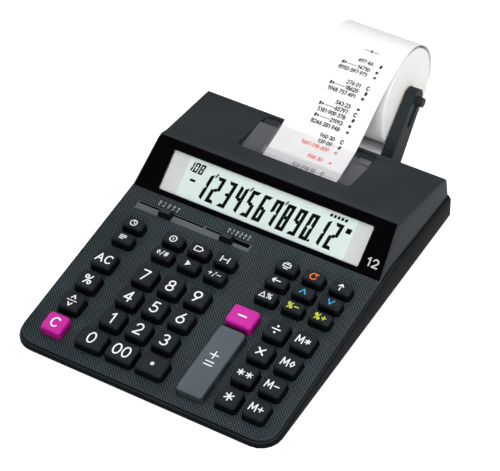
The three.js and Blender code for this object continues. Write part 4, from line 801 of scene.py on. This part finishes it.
def segment_shapes(width, height, bar, cut):
    """Outlines of seven segments with mitred ends, in an upright box."""
    half, mid, slope = height / 2, bar / 2, bar * SEGMENT_MITRE
    return {
        "a": [(cut, height), (width - cut, height), (width - slope - cut, height - bar), (slope + cut, height - bar)],
        "b": [(width, height - cut), (width, half + cut), (width - mid, half + cut / 2),
              (width - bar, half + mid + cut / 2), (width - bar, height - slope - cut)],
        "c": [(width, half - cut), (width, cut), (width - bar, slope + cut), (width - bar, half - mid - cut / 2),
              (width - mid, half - cut / 2)],
        "d": [(cut, 0), (slope + cut, bar), (width - slope - cut, bar), (width - cut, 0)],
        "e": [(0, half - cut), (mid, half - cut / 2), (bar, half - mid - cut / 2), (bar, slope + cut), (0, cut)],
        "f": [(0, height - cut), (bar, height - slope - cut), (bar, half + mid + cut / 2), (mid, half + cut / 2),
              (0, half + cut)],
        "g": [(mid + cut, half), (bar + cut, half + mid), (width - bar - cut, half + mid), (width - mid - cut, half),
              (width - bar - cut, half - mid), (bar + cut, half - mid)],
    }


def lcd_figures():
    """Slanted figures with their point and commas, and the small signs around them."""
    places, faces = [], []

    def show(points, x, y):
        slanted = [(x + px + FIGURE_SLANT * (y + py - FIGURE_FOOT), y + py) for px, py in points]
        gather(places, faces, at_height(slanted, LCD_TOP + FIGURE_RISE), [range(len(points))])

    def row(signs, left, foot, pitch, shape):
        shapes = segment_shapes(*shape)
        for i, sign in enumerate(signs):
            for segment in LIT[sign]:
                show(shapes[segment], left + pitch * i, foot)

    row("123456789012", FIGURE_LEFT, FIGURE_FOOT, FIGURE_PITCH, FIGURE_SHAPE)
    show(arc(7.3, 0.95, 1, 1, 0, 360, 10)[:-1], FIGURE_LEFT + FIGURE_PITCH * POINT_FIGURE, FIGURE_FOOT)
    for figure in COMMA_FIGURES:
        show(COMMA, FIGURE_LEFT + FIGURE_PITCH * figure, FIGURE_FOOT)
    row("108", SMALL_LEFT, SMALL_FOOT, SMALL_PITCH, SMALL_SHAPE)
    for width, height, x, y in BLOCKS:
        show(box_corners(0, width, 0, height), x, y)
    return new_piece("display_figures", places, faces, [LCD_BLACK], matrix=PANEL)


figures = lcd_figures()
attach(figures, "case")


# -------- keys

KEY_DISH = 0.22
KEY_CRISP_ANGLE = 40
KEY_SIDE_PARTS = 6
KEY_FLANGE, KEY_FLANGE_HEIGHT = 0.9, 0.8
SHOULDER_IN, TOP_IN, KEY_ROLL = 0.15, 1.0, 0.3
KEY_RADIUS, KEY_TOP_RADIUS = 2.2, 1.6
WALL_RINGS = 6
DISH_STEPS = (0.08, 0.2, 0.36, 0.55, 0.75, 0.93)
DISH_FADE = 0.2

# Rows of each key's legend: signs, height, stroke and, off the middle, the rise
LEGENDS = {
    "item": [("list", 3.4, 0.75)], "time": [("clock", 4.6, 0.7)], "clear": [("C", 7.0, 1.15)],
    "markup": [("^", 3.2, 0.9, 3.2), ("v", 3.2, 0.9, -3.2), ("bar", 3.2, 0.6)],
    "percent": [("%", 7.4, 1.0)], "clear_all": [("A C", 6.2, 1.05)], "diamond": [("<> / #", 4.0, 0.6)],
    "arrow": [(">", 4.6, 0.5)], "sign": [("+ / -", 4.2, 0.55)], "cost": [("coin", 4.8, 0.75)],
    "sell": [("tag", 4.6, 0.75)], "margin": [("gap", 4.4, 0.8)], "delta": [("D %", 4.4, 0.65)],
    "tax_minus": [("% -", 4.8, 0.8)], "tax_plus": [("% +", 4.8, 0.8)], "correct": [("undo", 4.4, 0.8)],
    "up": [("^", 4.4, 1.0)], "down": [("v", 4.4, 1.0)], "print": [("sheet", 4.8, 0.7)],
    "reprint": [("again", 4.8, 0.9)], "feed": [("feed", 5.0, 0.8)],
    "plus": [("+", 9.6, 0.9, 4.6), ("=", 9.6, 0.9, -2.6)], "minus": [("-", 9.4, 1.15)],
    "total": [("*", 9.6, 0.95)], "grand_total": [("* *", 7.0, 0.8)], "times": [("x", 9.2, 1.05)],
    "divide": [(":", 9.4, 0.95)], "memory_plus": [("M +", 5.6, 0.85)], "memory_minus": [("M -", 5.6, 0.85)],
    "memory_diamond": [("M <>", 5.6, 0.85)], "memory_total": [("M *", 5.6, 0.85)],
    "point": [("o", 8.0, 1.0)], "00": [("0 0", 7.8, 1.1)],
}
NUMBER = (8.0, 1.1)  # height and stroke of a number key's legend
LEGEND_INKS = {"tax_minus": LIME_INK, "tax_plus": LIME_INK, "up": BLUE_INK, "down": BLUE_INK,
               "reprint": ORANGE_INK}

# Top and wall materials with the record's slot of the keys that aren't black; each wall material is a darker copy of
# its top, as painted shade
KEY_PAINTS = {
    "clear": (KEY_MAGENTA, MAGENTA_SHADED_WALL, "key_magenta"),
    "minus": (KEY_MAGENTA, MAGENTA_SHADED_WALL, "key_magenta"),
    "plus": (KEY_SLATE, SLATE_SHADED_WALL, "key_slate"),
}


def key_section(low, top):
    """Rings from a key's flange to the flat of its top: inset, corner radius and height."""
    flange_top = low + KEY_FLANGE_HEIGHT
    return [
        (-KEY_FLANGE, KEY_RADIUS, low), (-KEY_FLANGE, KEY_RADIUS, flange_top), (0, KEY_RADIUS, flange_top),
        (0.02, KEY_RADIUS, 0), (SHOULDER_IN - 0.01, KEY_RADIUS, top - 2),
        (SHOULDER_IN + 0.03, KEY_RADIUS, top - 1.75), (SHOULDER_IN + 0.13, 2.15, top - 1.5),
        (TOP_IN - 0.12, 1.75, top - 0.3), (TOP_IN - 0.02, 1.7, top - 0.1),
        (TOP_IN + 0.12, 1.65, top - 0.02), (TOP_IN + KEY_ROLL, KEY_TOP_RADIUS, top),
    ]


def key_piece(node):
    """One key: flange, drafted walls, rolled shoulder and a dished top with its sign printed on."""
    name = node[len("key_"):]
    low, high = in_frame(DECK, node)
    x, y, top = (low.x + high.x) / 2, (low.y + high.y) / 2, high.z
    half_width = (high.x - low.x) / 2 - KEY_FLANGE
    half_depth = (high.y - low.y) / 2 - KEY_FLANGE
    flat_in = TOP_IN + KEY_ROLL

    def level(px, py):
        share = min(1, abs(px - x) / (half_width - flat_in))
        return top - KEY_DISH * (1 - share * share)

    def outline(inset, radius):
        return rounded(x, y, half_width - inset, half_depth - inset, radius, KEY_SIDE_PARTS)

    rings = [at_height(outline(inset, radius), z) for inset, radius, z in key_section(low.z, top)]
    reach = min(half_width, half_depth) - flat_in
    for step in DISH_STEPS:
        fade = min(1, step / DISH_FADE)
        inner = outline(flat_in + reach * step, max(0.1, KEY_TOP_RADIUS * (1 - step)))
        rings.append([(px, py, top + (level(px, py) - top) * fade) for px, py in inner])
    # Walls take the darker copy of the key's plastic as painted shade
    *paints, slot = KEY_PAINTS.get(name, (KEY_BLACK, KEY_SHADED_WALL, "key_black"))
    places, faces = loft(rings)
    first_of_top = WALL_RINGS * len(rings[0])
    kinds = [0 if min(face) >= first_of_top else 1 for face in faces]
    piece = new_piece(f"cap_{name}", places, faces, paints, kinds, DECK, KEY_CRISP_ANGLE)
    print_in = LEGEND_INKS.get(name, WHITE_INK)
    for signs, height, stroke, *rise in LEGENDS.get(name, [(name, *NUMBER)]):
        add_to(piece, *write(signs.split(), x, y + sum(rise), height, stroke, level), print_in, DECK)
    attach(piece, frame_body(node))
    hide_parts(node)


for key_node in sorted(n for n in frame["nodes"] if n.startswith("key_")):
    key_piece(key_node)


# -------- slide switches and deck marks

FINGER_RECESS = ((0, 0), (0.45, 0), (0.95, 0.4))  # inset and depth of its rings
CROWN_TOLERANCE = 0.01
MARK_ROWS = ((-69.6, 3.6, 5), (-15.4, 3.1, 6))  # first x, pitch and count
POINTER_HALF, POINTER_TIP_Y, POINTER_BASE_Y = 0.55, 138.6, 140.0
MARK = (142.0, 2.0, 0.32)  # y, height and stroke of a number


def slider(node, name):
    """Slide knob whose top has a shallow finger recess, painted paler than the body as light on the top."""
    piece = dress(node, name, frame_body(node), KNOB)
    high = in_frame(DECK, node)[1].z
    build = bmesh.new()
    build.from_mesh(piece.data)
    crown = [f for f in build.faces if all(deck_place(v.co).z > high - CROWN_TOLERANCE for v in f.verts)]
    spots = [deck_place(v.co) for face in crown for v in face.verts]
    bmesh.ops.delete(build, geom=crown, context="FACES_ONLY")
    build.to_mesh(piece.data)
    build.free()
    near, far = extent(spots)
    rings = [at_height(box_corners(near.x + inset, far.x - inset, near.y + inset, far.y - inset), high - depth)
             for inset, depth in FINGER_RECESS]
    add_to(piece, *loft(rings, False), KNOB_LIT_TOP, DECK)


slider("mode_slider", "mode_knob")
slider("decimal_slider", "decimal_knob")


def deck_marks():
    """Small plain pointers and numbers behind the two slide switches."""
    places, faces = [], []
    for start, step, amount in MARK_ROWS:
        for number in range(amount):
            x = start + step * number
            pointer = [(x - POINTER_HALF, POINTER_BASE_Y), (x, POINTER_TIP_Y), (x + POINTER_HALF, POINTER_BASE_Y)]
            gather(places, faces, at_height(pointer, STROKE_LIFT), [range(len(pointer))])
            gather(places, faces, *write([str(number)], x, *MARK, level_zero))
    return new_piece("deck_marks", places, faces, [PALE_INK], matrix=DECK)


marks = deck_marks()
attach(marks, "case")


# -------- paper

PAPER_MIDDLE_X = 5.0
PAPER_WIDTH = 57.0
PAPER_THICKNESS = 0.3
PAPER_COLUMNS = 6
PAPER_CRISP_ANGLE = 50
ROLL_Y, ROLL_Z, ROLL_RADIUS, CORE_RADIUS = 300.3, 39.8, 35.5, 6.0
ROLLER_Y, ROLLER_Z, ROLLER_WRAP = 204.0, 31.0, 6.65
CURVE_STEPS = 6
LEAST_SPAN = 1e-4

# Way of the paper's middle line, as y and z: to the feed roller, and from the exit to the roll.
# On the roll: an angle in degrees and the distance from it
OFF_ROLL = ((265, 0.45), (260.85, 0.45))
WAY_IN = [(287.1, 6.37), (266, 14.7), (245, 23), (228, 25.4)]
WAY_OUT = [(198.5, 41.2), (203.7, 42.46), (224.5, 47.5), (236, 53), (268, 70.5), (306.5, 78.5)]
BACK_ON_ROLL = ((42, 2.2), (14, 1.9), (-14, 1.6))


def around_roll(degrees, away):
    radius = ROLL_RADIUS + away
    return arc(ROLL_Y, ROLL_Z, radius, radius, degrees, degrees, 1)[0]


def between(one, other, start, end, now):
    return one * ((end - now) / (end - start)) + other * ((now - start) / (end - start))


def spline(points):
    """Centripetal curve through flat points."""
    inner = [Vector(p) for p in points]
    ends = [inner[0] * 2 - inner[1], *inner, inner[-1] * 2 - inner[-2]]
    made = []
    for i in range(1, len(ends) - 2):
        p0, p1, p2, p3 = ends[i - 1:i + 3]
        t1 = max(LEAST_SPAN, (p1 - p0).length ** 0.5)
        t2 = t1 + max(LEAST_SPAN, (p2 - p1).length ** 0.5)
        t3 = t2 + max(LEAST_SPAN, (p3 - p2).length ** 0.5)
        for step in range(CURVE_STEPS):
            t = t1 + (t2 - t1) * step / CURVE_STEPS
            a1 = between(p0, p1, 0, t1, t)
            a2 = between(p1, p2, t1, t2, t)
            a3 = between(p2, p3, t2, t3, t)
            made.append(between(between(a1, a2, 0, t2, t), between(a2, a3, t1, t3, t), t1, t2, t))
    made.append(inner[-1])
    return made


def strip_line():
    """Middle line of the paper, from the roll's underside round the feed roller and back over the roll."""
    under = [around_roll(*spot) for spot in OFF_ROLL] + WAY_IN
    wrap = arc(ROLLER_Y, ROLLER_Z, ROLLER_WRAP, ROLLER_WRAP, 270, 180, 4)
    back = [around_roll(*spot) for spot in BACK_ON_ROLL]
    return spline(under + wrap + WAY_OUT + back), len(under + wrap) * CURVE_STEPS


STRIP, STRIP_OUT = strip_line()
STRIP_LENGTHS = [0.0]
for start, end in zip(STRIP, STRIP[1:]):
    STRIP_LENGTHS.append(STRIP_LENGTHS[-1] + (end - start).length)


def strip_frame(length):
    """Place and upward side of the strip at a length along it."""
    i = next((i for i in range(1, len(STRIP)) if STRIP_LENGTHS[i] >= length), len(STRIP) - 1)
    share = (length - STRIP_LENGTHS[i - 1]) / (STRIP_LENGTHS[i] - STRIP_LENGTHS[i - 1])
    along = (STRIP[i] - STRIP[i - 1]).normalized()
    return STRIP[i - 1].lerp(STRIP[i], min(1, max(0, share))), Vector((-along.y, along.x))


def paper_sheet(name, first, last):
    """One run of the paper between two places of its middle line."""
    columns = [PAPER_MIDDLE_X + PAPER_WIDTH * (i / PAPER_COLUMNS - 0.5) for i in range(PAPER_COLUMNS + 1)]
    rings = []
    for i in range(first, last + 1):
        place = STRIP[i]
        along = (STRIP[min(len(STRIP) - 1, i + 1)] - STRIP[max(0, i - 1)]).normalized()
        side = Vector((-along.y, along.x)) * (PAPER_THICKNESS / 2)
        upper = [(x, place.x + side.x, place.y + side.y) for x in columns]
        lower = [(x, place.x - side.x, place.y - side.y) for x in reversed(columns)]
        rings.append(upper + lower)
    return new_piece(name, *loft(rings), [PAPER], sharp=PAPER_CRISP_ANGLE)


# Rows of print: way from the exit and kind of row, with the colours in the same order
PRINT_ROWS = [
    (3.0, "middle"), (13.3, "short"), (22.2, "long"), (26.9, "short"), (31.3, "short"), (39.0, "long"),
    (43.6, "dashed"), (48.2, "long"), (52.4, "dashed"), (56.7, "short"), (64.6, "long"), (68.8, "dashed"),
    (73.0, "short"), (82.1, "long"), (86.3, "dashed"), (91.6, "short"), (101.0, "header"),
]
PRINT_COLOURS = ["pale", "red", "red"] + ["black"] * (len(PRINT_ROWS) - 3)
PRINT_KINDS = {"short": (3, 2), "middle": (3, 3, 2), "long": (4, 3, 3), "dashed": (5,)}  # groups of figures
PRINT_MARKS = (["C", "mid"], ["="], ["*", "mid"], ["#"])
HEADER = ["dash"] * 5 + ["<>"] + ["dash"] * 5
DASHES = ["#", ">"] + ["dash"] * 8
ROW_HEIGHT = 2.7
ROW_STROKE = 0.68
MARK_STROKE = 0.9
ROW_NARROW = 0.86
ROW_LIFT_SHARE = 0.6
ROW_RIGHT = PAPER_MIDDLE_X + 12.0
MARK_X = PAPER_MIDDLE_X + 17.0
HEADER_X = PAPER_MIDDLE_X + 5.0


def row_texts(kind, index):
    """Texts of one row with their middles: groups of figures, and a mark at the right."""
    if kind == "header":
        return [(HEADER, HEADER_X)]
    signs = []
    for count in PRINT_KINDS[kind]:
        signs += [random.choice("0123456789") for _ in range(count)] + ["mid"]
    if kind == "dashed":
        signs = DASHES + signs
    wide = sum(SIGNS[sign][0] + SIGN_GAP for sign in signs) * ROW_HEIGHT / 100 * ROW_NARROW
    return [(signs, ROW_RIGHT - wide / 2), (PRINT_MARKS[index % len(PRINT_MARKS)], MARK_X)]


def strip_print():
    """Rows of plain figures on the strip, set to the right, some in red."""
    exit_length = STRIP_LENGTHS[STRIP_OUT]
    rows = {"black": (BLACK_PRINT, [], []), "red": (RED_PRINT, [], []), "pale": (PALE_PRINT, [], [])}
    for index, ((way, kind), colour) in enumerate(zip(PRINT_ROWS, PRINT_COLOURS)):
        for signs, middle in row_texts(kind, index):
            stroke = MARK_STROKE if middle == MARK_X else ROW_STROKE
            flat, made = write(signs, middle, 0.0, ROW_HEIGHT, stroke, level_zero, ROW_NARROW)
            places = []
            for px, py, pz in flat:
                spot, side = strip_frame(exit_length + way + py)
                lifted = spot + side * (PAPER_THICKNESS / 2 + pz * ROW_LIFT_SHARE)
                places.append((px, lifted.x, lifted.y))
            gather(*rows[colour][1:], places, made)
    return [new_piece(f"strip_rows_{name}", *made, [paint]) for name, (paint, *made) in rows.items()]


# Each run and each row of print has its transform baked into its mesh
web_in = paper_sheet("paper_web_in", 0, STRIP_OUT)
web_out = paper_sheet("paper_web_out", STRIP_OUT, len(STRIP) - 1)
IN_BEND = ((0, 245, 40), (0, 290, 40))
OUT_BEND = ((0, 225, 48), (0, 262, 67))
for piece, (bend_from, bend_to) in [(web_in, IN_BEND)] + [(p, OUT_BEND) for p in [web_out] + strip_print()]:
    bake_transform(piece)
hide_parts("paper_strip")
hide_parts("paper_strip")

ROLL_STEPS = 96
ROLL_CRISP_ANGLE = 40
CORE_WALL_RADIUS = 7.6
ROLL_RECESS, ROLL_EDGE, ROLL_EDGE_LENGTH = 0.35, 0.4, 0.8


def paper_roll():
    """Wound roll on its card core, with softened outer edges."""
    half = PAPER_WIDTH / 2
    inner, edge = half - ROLL_RECESS, half - ROLL_EDGE_LENGTH
    # Radius and x of each ring from the bore at the left, and the material up to the next one
    bore, core, rim = CORE_RADIUS, CORE_WALL_RADIUS, ROLL_RADIUS - ROLL_EDGE
    profile = [(bore, -half, 2), (core, -half, 1), (core, -inner, 1), (rim, -inner, 1), (ROLL_RADIUS, -edge, 0),
               (ROLL_RADIUS, edge, 1), (rim, inner, 1), (core, inner, 2), (core, half, 2), (bore, half, 2)]
    rings = [[(PAPER_MIDDLE_X + x, y, z) for y, z in arc(ROLL_Y, ROLL_Z, radius, radius, 0, 360, ROLL_STEPS)[:-1]]
             for radius, x, _ in profile]
    kinds = [kind for _, _, kind in profile for _ in range(ROLL_STEPS)]
    materials = [PAPER, wound_sides(ROLL_Y, ROLL_Z), CORE]
    skin = loft(rings + rings[:1], False, False)
    return new_piece("wound_roll", *skin, materials, kinds, sharp=ROLL_CRISP_ANGLE)


roll = paper_roll()
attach(roll, frame_body("paper_roll"))
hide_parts("paper_roll")


# -------- tear bar and screws

# Rear edge of the tear bar's band of painted shade
TEAR_BAND_Y = 206.0


def paint_tear(centre, normal):
    """Greyer band along the front of the bar, painted as the shade of its downturned front."""
    return TEAR_BAND_SHADE if centre.y < FRONT + TEAR_BAND_Y * MM else TEAR


dress("tear_bar", "tear_bar_clear", "case", paint_tear, CRISP_ANGLE,
      (LEVEL @ Vector((0, TEAR_BAND_Y, 0)), (0, 1, 0)))

SCREW_PLACES = ((-89, 139), (89, 139), (-84, 226), (84, 226))
SCREW_HEAD_Z = 9.2
SCREW_RINGS = ((0.9, 1.6), (2.2, 1.4), (2.2, 0.4), (1.9, 0.1), (0.9, 0))  # radius and height over the head
SCREW_STEPS = 24
CROSS_HALVES = ((1.2, 0.25, 0.02), (0.25, 1.2, 0.02785398))  # of each bar: along x, along y and its drop


def screw(name, x, y):
    """Cross-head screw deep in its bore."""
    rings = [at_height(arc(x, y, r, r, 0, 360, SCREW_STEPS)[:-1], SCREW_HEAD_Z + z) for r, z in SCREW_RINGS]
    piece = new_piece(name, *loft(rings), [SCREW_STEEL])
    for half_x, half_y, drop in CROSS_HALVES:
        arm = box_corners(x - half_x, x + half_x, y - half_y, y + half_y)
        # The cross recess is painted near black as shade
        add_to(piece, at_height(arm, SCREW_HEAD_Z - drop), [(3, 2, 1, 0)], INNER_SHADE_AND_SWITCH_BLACK)
    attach(piece, "case")


for number, screw_place in enumerate(SCREW_PLACES, 1):
    screw(f"case_screw_{number}", *screw_place)


# -------- floor, light and camera

FLOOR_HALF = 4.0
FLOOR_GREYS = (0.80, 0.84)
FLOOR_GLOW = 0.72  # seen by the camera alone, so that the floor comes out white
FILL_LIGHT = 0.2
AIM = (0, 0, 0.03)
LENS, SENSOR = 165.6, 36
# The camera's directions to the right, up and back
CAMERA_AXES = ((0.8611454747, 0.5077488224, -0.0248918604), (-0.3420467381, 0.6149463338, 0.7105244792),
               (0.3760751258, -0.6033507603, 0.7032320811))
CAMERA_PLACE = (0.5738, -0.94754, 1.0986)


def floor():
    """Pale floor, white to the camera apart from the object's soft shadow."""
    made = Finish("studio_floor")
    cloud = made.noise(6, 2)
    stops = [(place, (grey, grey, grey, 1)) for place, grey in zip((0.2, 0.8), FLOOR_GREYS)]
    made.feed(made.shader, {"Base Color": made.ramp(cloud, stops), "Roughness": made.spread(cloud, 0.9, 1.0),
                            "Specular IOR Level": 0, "Emission Color": (1, 1, 1, 1),
                            "Emission Strength": made.number("MULTIPLY", made.seen(), FLOOR_GLOW)})
    mesh = bpy.data.meshes.new("floor")
    corners = box_corners(-FLOOR_HALF, FLOOR_HALF, -FLOOR_HALF, FLOOR_HALF)
    mesh.from_pydata(at_height(corners, 0), [], [(0, 1, 2, 3)])
    mesh.materials.append(made.owner)
    plane = in_scene("floor", mesh)


def world():
    """White backdrop to the camera, and a weak even light on the object."""
    made = Nodes(bpy.data.worlds.new("studio"))
    strength = made.spread(made.seen(), FILL_LIGHT, 1)
    made.feed(made.tree.nodes["Background"], {"Color": (1, 1, 1, 1), "Strength": strength})
    bpy.context.scene.world = made.owner


def soft_light(name, place, size, power):
    lamp = bpy.data.lights.new(name, "AREA")
    lamp.shape = "DISK"
    lamp.size = size
    lamp.energy = power
    holder = in_scene(name, lamp)
    holder.location = place
    holder.rotation_mode = "QUATERNION"
    holder.rotation_quaternion = (Vector(AIM) - Vector(place)).to_track_quat("-Z", "Y")


def camera():
    """Camera fitted to the photograph."""
    lens = bpy.data.cameras.new("camera")
    lens.sensor_fit = "HORIZONTAL"
    lens.sensor_width = SENSOR
    lens.lens = LENS
    lens.clip_start, lens.clip_end = 0.05, 20
    holder = in_scene("camera", lens)
    basis = Matrix(CAMERA_AXES).transposed().to_4x4()
    holder.matrix_world = Matrix.Translation(CAMERA_PLACE) @ basis
    bpy.context.scene.camera = holder


floor()
world()
soft_light("rear_softbox", (-0.9, 1.2, 1.9), 1.3, 12)
soft_light("top_softbox", (0.5, 0.1, 2.2), 1.4, 20)
soft_light("front_fill", (0.5, -2.0, 1.3), 1.2, 32)
soft_light("side_fill", (2.2, -0.2, 0.8), 1.0, 21)
camera()
bpy.context.scene.view_settings.view_transform = "Standard"
